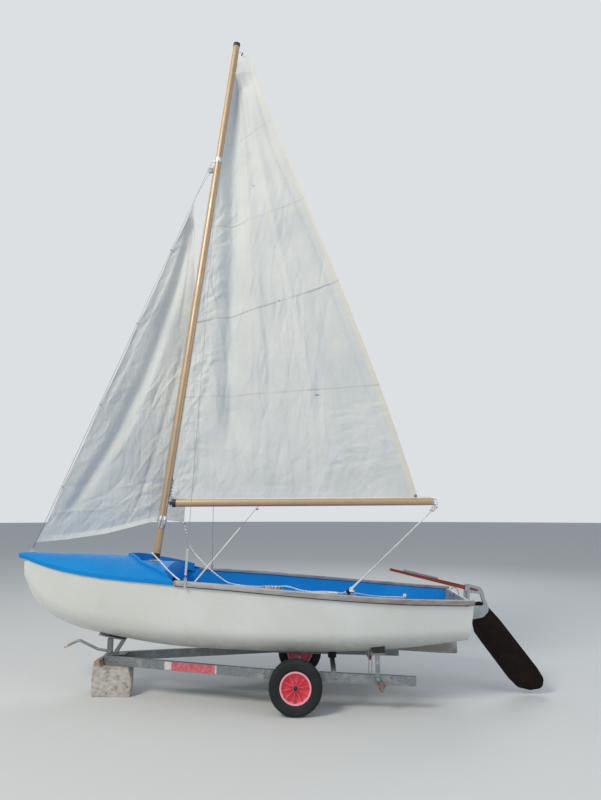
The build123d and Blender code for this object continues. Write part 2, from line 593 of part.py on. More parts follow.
def make_rim(side):
    """Moulded rim with a recessed ribbed disc and a hub."""
    barrel = Cylinder(RIM_RADIUS - 0.4, 72) - Cylinder(RIM_RADIUS - 8, 80)
    barrel += Pos(0, 0, 33) * (Cylinder(RIM_RADIUS - 0.4, 6) - Cylinder(RIM_RADIUS - 13, 20))
    disc = Pos(0, 0, -4) * (Cylinder(RIM_RADIUS - 7, 8) - Cylinder(AXLE_RADIUS + 4, 20))
    hub = Pos(0, 0, -11) * (Cylinder(25, 50) - Cylinder(AXLE_RADIUS + 0.6, 90))
    wheel = barrel + disc + hub
    for i in range(10):
        rib = Pos(71, 0, 14) * Box(84, 4, 28)
        wheel += Rot(0, 0, 36 * i + 8) * rib
    turn = Rot(90, 0, 0) if side < 0 else Rot(-90, 0, 0)
    return Pos(at(WHEEL_STATION, side * WHEEL_Y, WHEEL_RADIUS)) * turn * wheel


def make_axle():
    """Round axle under the rails, with a washer on each side of a wheel's hub."""
    end = WHEEL_Y + HUB_FACE + 20
    centre = at(WHEEL_STATION, 0, WHEEL_RADIUS)
    axle = Pos(centre) * Rot(90, 0, 0) * Cylinder(AXLE_RADIUS, 2 * end)
    for side in SIDES.values():
        for y, radius, long in ((WHEEL_Y + HUB_FACE + 9, 19, 8), (WHEEL_Y - 46, 22, 8)):
            axle += Pos(at(WHEEL_STATION, side * y, WHEEL_RADIUS)) * Rot(90, 0, 0) * Cylinder(radius, long)
    return axle


def rail_run(side, start, end, grow=0.0):
    """One straight stretch of box rail."""
    a, b = [at(s, side * y, z) for s, y, z in (start, end)]
    plane = Plane(origin=a, x_dir=Vector(0, 0, 1).cross(b - a), z_dir=b - a)
    return extrude(plane * Rectangle(RAIL_WIDE + grow, RAIL_DEEP + grow), amount=(b - a).length)


def make_rail(side):
    """Bent box rail: converging to the front, nearly parallel behind the wheels."""
    front, bend, back = RAIL_PATH
    rail = rail_run(side, front, bend) + rail_run(side, bend, back)
    rail -= rail_run(side, front, bend, -2 * RAIL_WALL) + rail_run(side, bend, back, -2 * RAIL_WALL)
    for station in (3222, 3327):
        middle = bend[2] + (back[2] - bend[2]) * (station - bend[0]) / (back[0] - bend[0])
        for z in (middle - 16, middle + 16):
            rail -= Pos(at(station, side * 485, z)) * Rot(90, 0, 0) * Cylinder(4.5, 80)
    return rail


def make_block():
    """Rough concrete lump under the rails' front ends, narrower on its far side."""
    outline = [(768, 0), (1108, 0), (1112, 120), (1100, 206), (1070, 229), (846, 229), (838, 268), (812, 294),
               (786, 280), (770, 180)]
    lump = side_plate(outline, 0, 340)
    lump -= plan_plate([(1130, -170), (1034, 172), (1200, 180), (1200, -180)], -10, 400)
    lump -= plan_plate([(700, -180), (799, -180), (760, -120), (764, 60), (790, 180), (700, 180)], -10, 400)
    return lump


def make_trailer_parts():
    """Cross members, hull rests with their pads, the tow handle and the block."""
    hull = hull_body(-SEAT_GAP)
    apex = slab(846, 1010, -46, 46, 301.4, 307)
    lower = hull_body(-SEAT_GAP - 16)
    post = slab(846, 886, -20, 20, 307.2, 428)
    plate = slab(782, 996, -62, 62, 380, 540) & (Pos(0, 0, -26) * hull)
    plate -= lower
    plate += slab(782, 862, -40, 40, 400, 540) & (Pos(0, 0, -12) * hull) - hull
    strut = side_plate([(896, 307.2), (932, 307.2), (992, 404), (992, 419), (966, 419)], 0, 34)
    bow_support = post + plate + strut
    rear_beam = slab(2760, 2800, -478, 478, 280.2, 294)
    roller = slab(2745, 2815, -60, 60, 294.2, 420) - hull
    pad = (slab(868, 1002, -56, 56, 380, 540) & (Pos(0, 0, -15) * hull)) - hull
    parts = {"apex_plate": apex, "bow_support": bow_support, "keel_beam": rear_beam, "keel_rest": roller}
    parts["bow_pad"] = pad
    for name, side in SIDES.items():
        y = side * (477 + RAIL_WIDE / 2 + 5.6)
        post = slab(3100, 3136, y - 4, y + 4, 196, 428) + slab(3106, 3130, y - side * 26, y, 271, 340)
        for z, radius in ((356, 7), (402, 5)):
            post -= Pos(at(3118, y, z)) * Rot(90, 0, 0) * Cylinder(radius, 20)
        post += Pos(at(3121, y + side * 6, 236)) * Rot(90, 0, 0) * Cylinder(15, 12)
        tab = [(3106, 214), (3150, 222), (3176, 200), (3150, 146), (3136, 150)]
        post += side_plate(tab, y + side * 7, 6)
        post += slab(3068, 3180, y - side * 62, y + side * 4, 420, 428)
        parts["side_support_" + name] = post - hull
        parts["side_pad_" + name] = slab(3072, 3176, y - side * 60, y + side * 3, 428.4, 500) - hull
    points = [at(840, 0, 325), at(758, 0, 338), at(593, 0, 411), at(468, 0, 355)]
    path = FilletPolyline(*[(p.X, p.Y, p.Z) for p in points], radius=35)
    handle = sweep(Plane(origin=path @ 0, z_dir=path % 0) * Circle(11), path=path)
    parts["tow_handle"] = handle
    parts["block"] = make_block()
    return parts


def make_chainplate(side):
    """Strap outside the rail with an eye for the shroud."""
    eye = chainplate_eye(side)
    strap = Pos(eye) * Pos(0, 0, -35) * Box(22, CHAINPLATE_THICK, 70)
    strap += Pos(eye) * Rot(90, 0, 0) * Cylinder(11, CHAINPLATE_THICK)
    return strap - Pos(eye) * Rot(90, 0, 0) * Cylinder(5.5, 20)


def make_bow_fitting():
    """Stem head plate with an upright lug for the forestay."""
    pin = at(BOW_STAY[0], 0, BOW_STAY[1])
    plate = Pos(pin) * Pos(8, 0, -15.5) * Box(64, 26, 3)
    lug = Pos(pin) * (Pos(0, 0, -7) * Box(22, 5, 16) + Rot(90, 0, 0) * Cylinder(11, 5))
    return plate + lug - Pos(pin) * Rot(90, 0, 0) * Cylinder(4, 20)


def make_mast_post():
    """Post that carries the mast's load from the mast deck to the keel."""
    top = deck_crown(MAST_FOOT[0]) - MAST_DECK_DROP - DECK_WALL - SEAT_GAP
    post = rod(at(MAST_FOOT[0], 0, 380), at(MAST_FOOT[0], 0, top), 24)
    return post & hull_body(SKIN + SEAT_GAP)


def make_sheet_block():
    """Mainsheet block standing on the after end of the centreboard case."""
    foot = at(CASE_AFT - 50, 0, CASE_TOP + 20.2)
    base = Pos(foot) * Pos(0, 0, 2) * Cylinder(24, 4)
    cheeks = Pos(foot) * Pos(0, 0, 32) * Rot(90, 0, 0) * (Cylinder(22, 24) - Cylinder(30, 12) + Cylinder(9, 24))
    post = Pos(foot) * Pos(0, 0, 8) * Box(12, 24, 10)
    sheave = Pos(foot) * Pos(0, 0, 32) * Rot(90, 0, 0) * Cylinder(18, 11)
    return base + post + cheeks + sheave


def build():
    """All nodes by name."""
    stays = stay_ends()
    nodes = {"hull_shell": make_hull(), "foredeck": make_foredeck(), "bulkhead": make_bulkhead(),
             "cockpit_liner": make_liner(), "transom": make_transom(), "transom_board": make_transom_board(),
             "centreboard_case": make_case(), "skeg": make_skeg(), "mast": make_mast(), "mainsail": make_mainsail(),
             "rudder_head": make_rudder(), "rudder_blade": make_blade(), "axle": make_axle(),
             "gudgeon_upper": make_gudgeon(PINTLE_HEIGHTS[1] - PINTLE_DROP),
             "gudgeon_lower": make_gudgeon(PINTLE_HEIGHTS[0] - PINTLE_DROP), "bow_fitting": make_bow_fitting(),
             "mast_post": make_mast_post(), "sheet_block": make_sheet_block()}
    nodes.update(make_mast_parts())
    nodes.update(make_boom())
    nodes.update(make_tiller())
    nodes.update(make_trailer_parts())
    nodes["forestay"] = make_stay(*stays["forestay"], (10, 60))
    nodes["jib"] = make_jib(*stays["forestay"])
    for name, side in SIDES.items():
        nodes["rub_rail_" + name] = make_rub_rail(side)
        nodes["shroud_" + name] = make_stay(*stays["shroud_" + name], (20, 180))
        nodes["chainplate_" + name] = make_chainplate(side)
        nodes["tyre_" + name] = make_tyre(side)
        nodes["rim_" + name] = make_rim(side)
        nodes["rail_" + name] = make_rail(side)
    return nodes


def main():
    """Write one STEP file for each node."""
    os.makedirs("parts", exist_ok=True)
    for name, solid in build().items():
        export_step(solid, f"parts/{name}.step")


if __name__ == "__main__":
    main()
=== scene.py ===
# %% [markdown]
# A sailing dinghy on its launching trailer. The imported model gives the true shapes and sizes, and this
# script dresses them: smooth mouldings, cloth sails, laid ropes, a treaded tyre and worn finishes.
# Everything is in metres: the bow points to -X, port is -Y and +Z is up, with the ground at Z = 0.

# %% Load the frame
import bmesh
import bpy
import json
import numpy as np
from math import cos, pi, radians, sin
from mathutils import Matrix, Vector


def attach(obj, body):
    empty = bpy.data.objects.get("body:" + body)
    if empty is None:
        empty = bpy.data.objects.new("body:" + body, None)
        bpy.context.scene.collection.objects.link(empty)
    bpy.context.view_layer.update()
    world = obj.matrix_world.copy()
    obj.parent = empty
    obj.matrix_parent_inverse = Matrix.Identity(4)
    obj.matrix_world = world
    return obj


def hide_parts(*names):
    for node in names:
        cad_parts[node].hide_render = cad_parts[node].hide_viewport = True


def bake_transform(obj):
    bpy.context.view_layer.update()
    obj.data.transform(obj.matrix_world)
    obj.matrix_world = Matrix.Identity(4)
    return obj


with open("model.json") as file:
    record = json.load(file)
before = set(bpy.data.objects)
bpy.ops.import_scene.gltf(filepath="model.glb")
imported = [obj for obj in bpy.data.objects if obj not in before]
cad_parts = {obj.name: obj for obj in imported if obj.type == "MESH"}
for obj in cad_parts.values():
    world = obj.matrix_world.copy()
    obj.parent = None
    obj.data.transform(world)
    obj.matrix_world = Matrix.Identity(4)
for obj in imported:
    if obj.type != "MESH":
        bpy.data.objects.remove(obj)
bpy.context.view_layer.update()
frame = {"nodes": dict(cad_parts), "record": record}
nodes = frame["nodes"]
LENGTH = 4.55228                     # foredeck's tip to the kicked-up rudder's tip
SIDES = ((-1, "port"), (1, "stbd"))


def at(station, y=0.0, z=0.0):
    """Point in metres for millimetres: x = station / 1000 - LENGTH / 2, a station counts aft of the foredeck's tip."""
    return np.array([station / 1000 - LENGTH / 2, y / 1000, z / 1000])


# %% [markdown]
# The camera comes first, because it decides how fine each piece has to be. It stands at eye height to
# port, turned a little towards the bow and tilted up, as the person who took the photograph stood.

# %% Camera
FOCAL, PHOTO_WIDE = 586.81, 601      # focal length and width of the photograph, in its pixels
EYE, PITCH, YAW = (0.375, -5.335, 1.50), 10.8127, 1.5073


def placed(name, data):
    """Object with its data, linked into the scene."""
    made = bpy.data.objects.new(name, data)
    bpy.context.scene.collection.objects.link(made)
    return made


def place_camera():
    """Camera at the photograph's place: rotation x = 90 degrees + pitch, z = yaw."""
    data = bpy.data.cameras.new("camera")
    data.sensor_fit, data.sensor_width, data.clip_end = "HORIZONTAL", 36.0, 200
    data.lens = FOCAL / PHOTO_WIDE * 36
    camera = placed("camera", data)
    camera.location = EYE
    camera.rotation_euler = (radians(90 + PITCH), 0, radians(YAW))
    bpy.context.scene.camera = camera
    print("camera at", EYE, "lens", round(data.lens, 2), "mm")


place_camera()

# %% [markdown]
# A few small helpers carry the whole script. One turns a written colour into light, one adds a shader
# node with its settings and links, and one puts a grid of points into a mesh.

# %% Colour and node helpers
def srgb(code):
    """Linear colour of a hex code: v / 12.92 below 0.04045, else ((v + 0.055) / 1.055) to the power 2.4."""
    parts = np.array([int(code[i:i + 2], 16) for i in (1, 3, 5)]) / 255
    linear = np.where(parts < 0.04045, parts / 12.92, ((parts + 0.055) / 1.055) ** 2.4)
    return (*[float(v) for v in linear], 1.0)


def add(owner, kind, sockets=None, **settings):
    """Add one shader node to a material or world: settings are its properties, sockets takes values or links."""
    tree = owner.node_tree
    made = tree.nodes.new("ShaderNode" + kind)
    for key, value in settings.items():
        setattr(made, key, value)
    for key, value in (sockets or {}).items():
        if isinstance(value, bpy.types.NodeSocket):
            tree.links.new(value, made.inputs[key])
        else:
            made.inputs[key].default_value = value
    return made


def shader_of(finish):
    """A material's principled shader."""
    return finish.node_tree.nodes["Principled BSDF"]


def start(name, code, rough, metallic=0.0, **sockets):
    """New material with one principled shader and the values of its sockets."""
    made = bpy.data.materials.new(name)
    made.use_nodes = True
    values = {"Base Color": srgb(code), "Roughness": rough, "Metallic": metallic}
    values.update({key.replace("_", " "): value for key, value in sockets.items()})
    for key, value in values.items():
        shader_of(made).inputs[key].default_value = value
    return made


# %% Mesh helpers
def surface(name, points, uv=None, close_u=False, close_v=False, smooth=True):
    """Mesh of a grid of points (rows, columns, 3): quad (i, j) joins rows i, i + 1 and columns j, j + 1."""
    rows, cols = points.shape[:2]
    i, j = np.arange(rows if close_u else rows - 1), np.arange(cols if close_v else cols - 1)
    i, j = [a.ravel() for a in np.meshgrid(i, j, indexing="ij")]
    corners = [(i, j), (i + 1, j), (i + 1, j + 1), (i, j + 1)]
    quads = np.stack([(a % rows) * cols + b % cols for a, b in corners], 1)
    mesh = bpy.data.meshes.new(name)
    mesh.from_pydata(points.reshape(-1, 3), [], quads)
    if uv is not None:
        by_column, by_row = uv
        layer = mesh.uv_layers.new(name="UVMap")
        pairs = np.stack([np.stack([by_column[b], by_row[a]], 1) for a, b in corners], 1)
        layer.data.foreach_set("uv", pairs.reshape(-1).astype(np.float32))
    mesh.polygons.foreach_set("use_smooth", np.full(len(quads), smooth))
    return placed(name, mesh)


def joined(name, pieces):
    """One object from several, its poles welded and its normals pointing out."""
    whole = bmesh.new()
    for piece in pieces:
        whole.from_mesh(piece.data)
        bpy.data.objects.remove(piece)
    bmesh.ops.remove_doubles(whole, verts=whole.verts, dist=1e-6)
    bmesh.ops.recalc_face_normals(whole, faces=whole.faces)
    mesh = bpy.data.meshes.new(name)
    whole.to_mesh(mesh)
    whole.free()
    return placed(name, mesh)


def solid_of(name, points, **how):
    """Closed surface with welded poles: the grid's first and last rows may each be one point."""
    return joined(name, [surface(name + "_grid", points, **how)])


def capped(rows, last=True):
    """Rows of points whose end rows are each drawn to their middle, so that the surface closes there."""
    ends = [row.mean(1, keepdims=True).repeat(rows.shape[1], 1) for row in (rows[:1], rows[-1:])]
    return np.concatenate([ends[0], rows, ends[1]] if last else [ends[0], rows])


def angles(count):
    """Angles of count points evenly round a circle."""
    return np.linspace(0, 2 * pi, count, endpoint=False)


def unit(ways):
    """Directions one long, from the last axis of an array."""
    return ways / np.linalg.norm(ways, axis=-1, keepdims=True)


def cubic(a, b, p, q, t):
    """From a to b with slopes p and q: a (1 + 2t)(1 - t)^2 + b t^2 (3 - 2t) + p t (1 - t)^2 - q t^2 (1 - t)."""
    return a * (1 + 2 * t) * (1 - t) ** 2 + b * t * t * (3 - 2 * t) + p * t * (1 - t) ** 2 - q * t * t * (1 - t)


def ramp(value, low, width):
    """0 to 1 as a value goes from low to low + width, flat outside."""
    return np.clip((value - low) / width, 0, 1)


# %% [markdown]
# The floor and the light stay plain: a pale floor, a pale sky that shows in metal too, one large soft
# lamp high to port and weaker ones from aft and behind, so that folds in the cloth read without hard
# shadows.

# %% Floor, sky and lamps
def make_floor():
    """Flat disc of floor at the ground, of rings and spokes."""
    radius, turn = np.meshgrid([0.0, 4, 9, 30, 90], angles(64), indexing="ij")
    floor = surface("floor", np.stack([radius * np.cos(turn), radius * np.sin(turn), 0 * radius], 2), close_v=True)
    floor.data.materials.append(start("matt_floor", "#D2D5D6", 0.95, Specular_IOR_Level=0.1))


def make_sky():
    """Pale where the camera or a shiny surface sees it, and a dimmer, cooler light on all the rest."""
    world = bpy.data.worlds.new("sky")
    bpy.context.scene.world = world
    world.use_nodes = True
    world.node_tree.nodes.clear()
    path = add(world, "LightPath").outputs
    seen = add(world, "Math", {0: path["Is Camera Ray"], 1: path["Is Glossy Ray"]}, operation="MAXIMUM")
    lit, shown = [add(world, "Background", {"Color": srgb(code), "Strength": strength}).outputs[0]
                  for code, strength in (("#EFF7FF", 0.45), ("#DCE0E3", 1.0))]
    mixed = add(world, "MixShader", {0: seen.outputs[0], 1: lit, 2: shown})
    add(world, "OutputWorld", {"Surface": mixed.outputs[0]})


def add_lamp(name, place, target, size, watts, code):
    """Square soft lamp that looks from its place to a target."""
    data = bpy.data.lights.new(name, "AREA")
    data.size, data.energy, data.color = size, watts, srgb(code)[:3]
    lamp = placed(name, data)
    lamp.location = place
    lamp.rotation_euler = (Vector(target) - Vector(place)).to_track_quat("-Z", "Y").to_euler()


make_floor()
make_sky()
add_lamp("key", (-6.0, -7.5, 9.0), (0, 0, 2), 3.6, 900, "#FFF6E8")
add_lamp("fill", (7.0, -5.0, 4.0), (0, 0, 1.2), 5.0, 150, "#EAF2FF")
add_lamp("back", (3.0, 8.0, 8.0), (0, 0, 2.5), 5.0, 230, "#FFFFFF")
bpy.context.scene.view_settings.view_transform = "Standard"
print("floor, sky and 3 lamps")

# %% [markdown]
# The rig's own frame. The mast leans aft, and the boom hangs from a pin just behind it, so points are
# given along the mast and behind it, and the boom's from that pin.

# %% Places on the mast and the boom
RAKE, RISE = radians(6.66), radians(0.34)
MAST_FOOT = at(1230, 0, 1085)
UP_MAST, AFT_MAST = np.array([sin(RAKE), 0, cos(RAKE)]), np.array([cos(RAKE), 0, -sin(RAKE)])
OUT_BOOM, UP_BOOM = np.array([cos(RISE), 0, sin(RISE)]), np.array([-sin(RISE), 0, cos(RISE)])
BEHIND_TRACK = 0.0335                # from the mast's middle line to the luff of the sail
AXLE = at(2489, 0, 203)


def on_mast(along, aft=0.0):
    """Mast foot + along times the mast's direction + aft times the direction square to it."""
    return MAST_FOOT + np.multiply.outer(along, UP_MAST) + aft * AFT_MAST


print("gooseneck pin", on_mast(0.503, 0.05).round(4), "axle", AXLE.round(4))

# %% [markdown]
# Finishes. Each one is named for what the real surface is and how it was made. The helpers make what
# repeats: soft patches of a given size in metres, layers of colour, worn shine and shallow dents.

# %% Helpers for finishes
UP, AFT = (0, 0, 1), (1, 0, 0)


def patches(finish, size, low=0.4, high=0.6, detail=3.0, stretch=(1, 1, 1)):
    """Patches from 0 to 1: noise whose blobs are size metres wide, its contrast set by low and high."""
    place = add(finish, "TexCoord").outputs["Object"]
    turned = add(finish, "Mapping", {"Vector": place, "Scale": stretch}).outputs[0]
    noise = add(finish, "TexNoise", {"Vector": turned, "Scale": 1 / size, "Detail": detail}).outputs[0]
    return add(finish, "MapRange", {"Value": noise, "From Min": low, "From Max": high}).outputs[0]


def towards(finish, way, low, high):
    """0 to 1 as a point of the piece goes from low to high along a direction, in metres."""
    place = add(finish, "TexCoord").outputs["Object"]
    reach = add(finish, "VectorMath", {0: place, 1: way}, operation="DOT_PRODUCT").outputs[1]
    return add(finish, "MapRange", {"Value": reach, "From Min": low, "From Max": high}).outputs[0]


def overlap(finish, *masks):
    """Where masks meet: their product, each a link or a number."""
    met = masks[0]
    for mask in masks[1:]:
        met = add(finish, "Math", {0: met, 1: mask}, operation="MULTIPLY").outputs[0]
    return met


def layered(finish, base, *layers):
    """A base colour under layers of (mask, colour), the last one on top."""
    for mask, colour in layers:
        base, colour = [srgb(c) if isinstance(c, str) else c for c in (base, colour)]
        base = add(finish, "Mix", {0: mask, 6: base, 7: colour}, data_type="RGBA").outputs[2]
    return base


def feed(finish, socket, source):
    """Link a source to one of the shader's sockets."""
    finish.node_tree.links.new(source, shader_of(finish).inputs[socket])


def painted(finish, *layers):
    """Lay colours over the shader's own base colour."""
    feed(finish, "Base Color", layered(finish, tuple(shader_of(finish).inputs["Base Color"].default_value), *layers))


def varied(finish, socket, mask, low, high):
    """Let a socket go from low to high with a mask."""
    feed(finish, socket, add(finish, "MapRange", {"Value": mask, "To Min": low, "To Max": high}).outputs[0])


def dent(finish, height, depth, strength=1.0):
    """Bump of a given depth in metres, laid over any bump that is there already."""
    made = add(finish, "Bump", {"Height": height, "Distance": depth, "Strength": strength})
    before = shader_of(finish).inputs["Normal"]
    if before.is_linked:
        finish.node_tree.links.new(before.links[0].from_socket, made.inputs["Normal"])
    feed(finish, "Normal", made.outputs[0])


# %% Mouldings: gelcoat over glass laminate
def gelcoat_white():
    """Polished gelcoat, gone chalky: cool white, painted shade with grime in patches low down, and a faint ripple of
    the laminate.
    """
    skin = start("gelcoat_white", "#DADDDB", 0.3, Coat_Weight=0.15, Coat_Roughness=0.15)
    # darker in patches towards the bottom (#85837A): painted shade under the hull, mixed with grime
    shade_and_grime_low = overlap(skin, towards(skin, UP, 0.58, 0.37), patches(skin, 0.1, -0.25, 0.55, 5))
    streak = overlap(skin, patches(skin, 0.02, 0.62, 0.8, 5, (1, 1, 0.12)), 0.18)
    painted(skin, (patches(skin, 0.6, 0.35, 0.7), "#D0D2CD"), (shade_and_grime_low, "#85837A"), (streak, "#B5B4A8"))
    varied(skin, "Roughness", patches(skin, 0.12, 0.3, 0.8), 0.26, 0.46)
    dent(skin, patches(skin, 0.12, 0, 1, 2), 0.0006, 0.4)
    return skin


def gelcoat_blue():
    """Azure gelcoat of the deck and the cockpit, gone dull: its shine is low, with fine scuffs."""
    skin = start("gelcoat_blue", "#0080CE", 0.42, Specular_IOR_Level=0.18)
    dusty = overlap(skin, patches(skin, 0.03, 0.6, 0.85, 6), 0.18)
    painted(skin, (patches(skin, 0.35, 0.3, 0.75), "#0489D6"), (dusty, "#3B97D0"))
    varied(skin, "Roughness", patches(skin, 0.05, 0.3, 0.8, 5), 0.3, 0.52)
    dent(skin, patches(skin, 0.12, 0, 1, 2), 0.0008, 0.4)
    return skin


def laminate_grey():
    """Flow-coated laminate: matt grey with the print of the glass mat under it."""
    skin = start("laminate_grey", "#9CA1A3", 0.6)
    painted(skin, (patches(skin, 0.05, 0.3, 0.7, 6), "#7A8083"))
    dent(skin, patches(skin, 0.006, 0, 1, 4), 0.0006)
    return skin


def rail_vinyl():
    """Extruded grey capping: satin, rubbed along its length, and darker and browner aft, where hands rest."""
    vinyl = start("rail_vinyl", "#ADAFB0", 0.5)
    rubbed, aft = patches(vinyl, 0.02, 0.4, 0.75, 6, (0.12, 1, 1)), towards(vinyl, AFT, -0.5, 1.1)
    scuffed = layered(vinyl, "#85878A", (aft, "#6F6663"))
    painted(vinyl, (aft, "#958D89"), (rubbed, scuffed))
    dent(vinyl, rubbed, 0.0003)
    return vinyl


# %% Metals
def anodised(name, light, dark, rough):
    """Drawn and anodised tube: coloured metal with fine lines along it and handled patches."""
    metal = start(name, light, rough, 0.35)
    lines = patches(metal, 0.0025, 0.3, 0.7, 4, (1, 1, 0.02))
    painted(metal, (lines, dark))
    varied(metal, "Roughness", patches(metal, 0.2, 0.3, 0.7), rough - 0.06, rough + 0.1)
    dent(metal, lines, 0.00008)
    return metal


def stainless(name, code, rough, grain=0.004):
    """Brushed or tumbled steel: fine grain in the roughness and a little in the height."""
    metal = start(name, code, rough, 1.0)
    fine = patches(metal, grain, 0.25, 0.75, 5)
    varied(metal, "Roughness", fine, rough - 0.08, rough + 0.14)
    dent(metal, fine, 0.00008)
    return metal


def galvanised(name="galvanised", rust=0.0):
    """Hot-dip zinc: dull grey spangle, white bloom, and rust where the zinc has gone."""
    zinc = start(name, "#7C8388", 0.52, 0.7)
    place = add(zinc, "TexCoord").outputs["Object"]
    spangle = add(zinc, "TexVoronoi", {"Vector": place, "Scale": 1 / 0.012}).outputs["Color"]
    grey = add(zinc, "RGBToBW", {0: spangle}).outputs[0]
    bloom = patches(zinc, 0.07, 0.5, 0.75, 6)
    spots = patches(zinc, 0.02, 0.68 - 0.4 * rust, 0.8 - 0.3 * rust, 7)
    painted(zinc, (grey, "#8D9498"), (bloom, "#A3A7A6"), (spots, "#7A4526"))
    varied(zinc, "Metallic", spots, 0.7, 0.1)
    dent(zinc, patches(zinc, 0.01, 0.2, 0.8, 6), 0.0005)
    return zinc


# %% Rubber, plastic, wood and stone
def moulded(name, light, dark, rough, size=0.03, depth=0.0003, **sockets):
    """Moulded plastic or rubber: two close shades in patches and a fine pebbled skin."""
    plastic = start(name, light, rough, **sockets)
    painted(plastic, (patches(plastic, size, 0.35, 0.7, 5), dark))
    dent(plastic, patches(plastic, 0.0025, 0, 1, 3), depth)
    return plastic


def tyre_rubber():
    """Vulcanised rubber, evenly greyed by the sun."""
    rubber = start("tyre_rubber", "#1C2022", 0.75, Specular_IOR_Level=0.3)
    painted(rubber, (patches(rubber, 0.12, 0.35, 0.75, 4), "#272B2C"))
    dent(rubber, patches(rubber, 0.003, 0, 1, 4), 0.0003)
    return rubber


def rim_plastic():
    """Moulded red nylon, bleached to pink, and nearly white with scuffs on the lip outside the tyre's bead."""
    nylon = start("red_nylon", "#E9455A", 0.42)
    place = add(nylon, "TexCoord").outputs["Object"]
    flat = add(nylon, "VectorMath", {0: place, 1: (1, 0, 1), 2: (-float(AXLE[0]), 0, -float(AXLE[2]))},
               operation="MULTIPLY_ADD").outputs[0]
    out = add(nylon, "VectorMath", {0: flat}, operation="LENGTH").outputs[1]
    lip = add(nylon, "MapRange", {"Value": out, "From Min": 0.1055, "From Max": 0.1075}).outputs[0]
    painted(nylon, (patches(nylon, 0.04, 0.3, 0.7, 5), "#F26A7B"), (lip, "#F0A3AC"))
    dent(nylon, patches(nylon, 0.003, 0, 1, 3), 0.0002)
    return nylon


def varnished(name, light, dark, rough, grain, along, gloss=0.4):
    """Varnished wood: long bands of grain along the piece, worn matt in places."""
    wood = start(name, light, rough, Specular_IOR_Level=gloss)
    bands = patches(wood, grain, 0.3, 0.7, 6, along)
    painted(wood, (bands, dark), (patches(wood, 0.08, 0.45, 0.8, 4), dark))
    varied(wood, "Roughness", patches(wood, 0.05, 0.3, 0.7), rough, rough + 0.25)
    dent(wood, bands, 0.0004)
    return wood


def painted_concrete():
    """Cast lump, limewashed: white skin, worn through to brown along its top edge and in a few hollows."""
    stone = start("painted_concrete", "#BFBDB8", 0.92)
    edge = overlap(stone, towards(stone, UP, 0.2, 0.27), patches(stone, 0.04, 0.38, 0.55, 7))
    painted(stone, (patches(stone, 0.05, 0.35, 0.75, 6), "#9F9891"),
            (patches(stone, 0.05, 0.6, 0.68, 8), "#8F735F"), (edge, "#9A7A66"))
    dent(stone, patches(stone, 0.012, 0.2, 0.8, 8), 0.003)
    return stone


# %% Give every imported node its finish
FINISHES = {
    "gelcoat_white": gelcoat_white(), "gelcoat_blue": gelcoat_blue(), "laminate_grey": laminate_grey(),
    "rail_grey": rail_vinyl(), "spar_tan": anodised("anodised_tan", "#C3A888", "#AB9070", 0.42),
    "black_plastic": moulded("black_nylon", "#1B1B1D", "#28282A", 0.5),
    "fitting_steel": stainless("stainless", "#C3C7CA", 0.3),
    "wire_steel": stainless("drawn_wire", "#8D9195", 0.42, 0.001),
    "head_aluminium": anodised("cast_aluminium", "#A7AEB1", "#858D90", 0.5),
    "blade_wood": varnished("dark_marine_ply", "#231612", "#120B0A", 0.5, 0.006, (0.08, 1, 0.08), 0.12),
    "tiller_wood": varnished("varnished_hardwood", "#963F2A", "#6E2A1C", 0.32, 0.004, (0.06, 1, 1)),
    "tyre_rubber": tyre_rubber(), "rim_red": rim_plastic(), "galvanised": galvanised(),
    "pad_rubber": moulded("black_rubber", "#18181A", "#29292A", 0.7), "concrete": painted_concrete(),
}
SLOT_OF = {row["node"]: row["material_slot"] for row in frame["record"]["subparts"]}


def give(piece, finish):
    """Let a finish be the piece's only material."""
    piece.data.materials.clear()
    piece.data.materials.append(finish)


def dress(piece, slot, finish=None, body="boat", *stands_for):
    """Finish a piece, with its slot's finish unless one is given, put it on its body and hide the nodes that it stands
    for.
    """
    give(piece, finish or FINISHES[slot])
    if body:
        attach(piece, body)
    if stands_for:
        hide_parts(*stands_for)
    print(piece.name, len(piece.data.polygons), "faces")
    return piece


for name, shape in nodes.items():
    if SLOT_OF[name] in FINISHES:
        give(shape, FINISHES[SLOT_OF[name]])
print("finishes", len(FINISHES))

# %% [markdown]
# Sails. Each is one cloth cut to its outline and set between its edges: a blend of the luff and the leech
# curves, pushed sideways by a little camber, by long folds that fan from the head, and by hundreds of
# short creases from the years in its bag. The folds are formulas, so the cloth comes out the same
# every time, and stays inside its edges as a stiff, lightly loaded sailcloth does.

# %% Folds and creases of sailcloth
def grid(rows, cols):
    """Shares v from foot to head by row and u from luff to leech by column."""
    return np.meshgrid(np.linspace(0, 1, rows), np.linspace(0, 1, cols), indexing="ij")


def long_folds(u, v, wide, folds):
    """Sum of depth * exp(-(off / width)^2), off in metres from a line of (v, u) places, gentler towards the leech."""
    deep = np.zeros_like(u)
    for line, width, depth in folds:
        places, centres = zip(*line)
        off = (u - np.interp(v, places, centres)) * wide
        fade = ramp(v, places[0], 0.08) * ramp(v, places[-1], -0.03)
        deep += depth * np.exp(-(off / (width * np.where(off < 0, 0.85, 1.5))) ** 2) * fade
    return deep


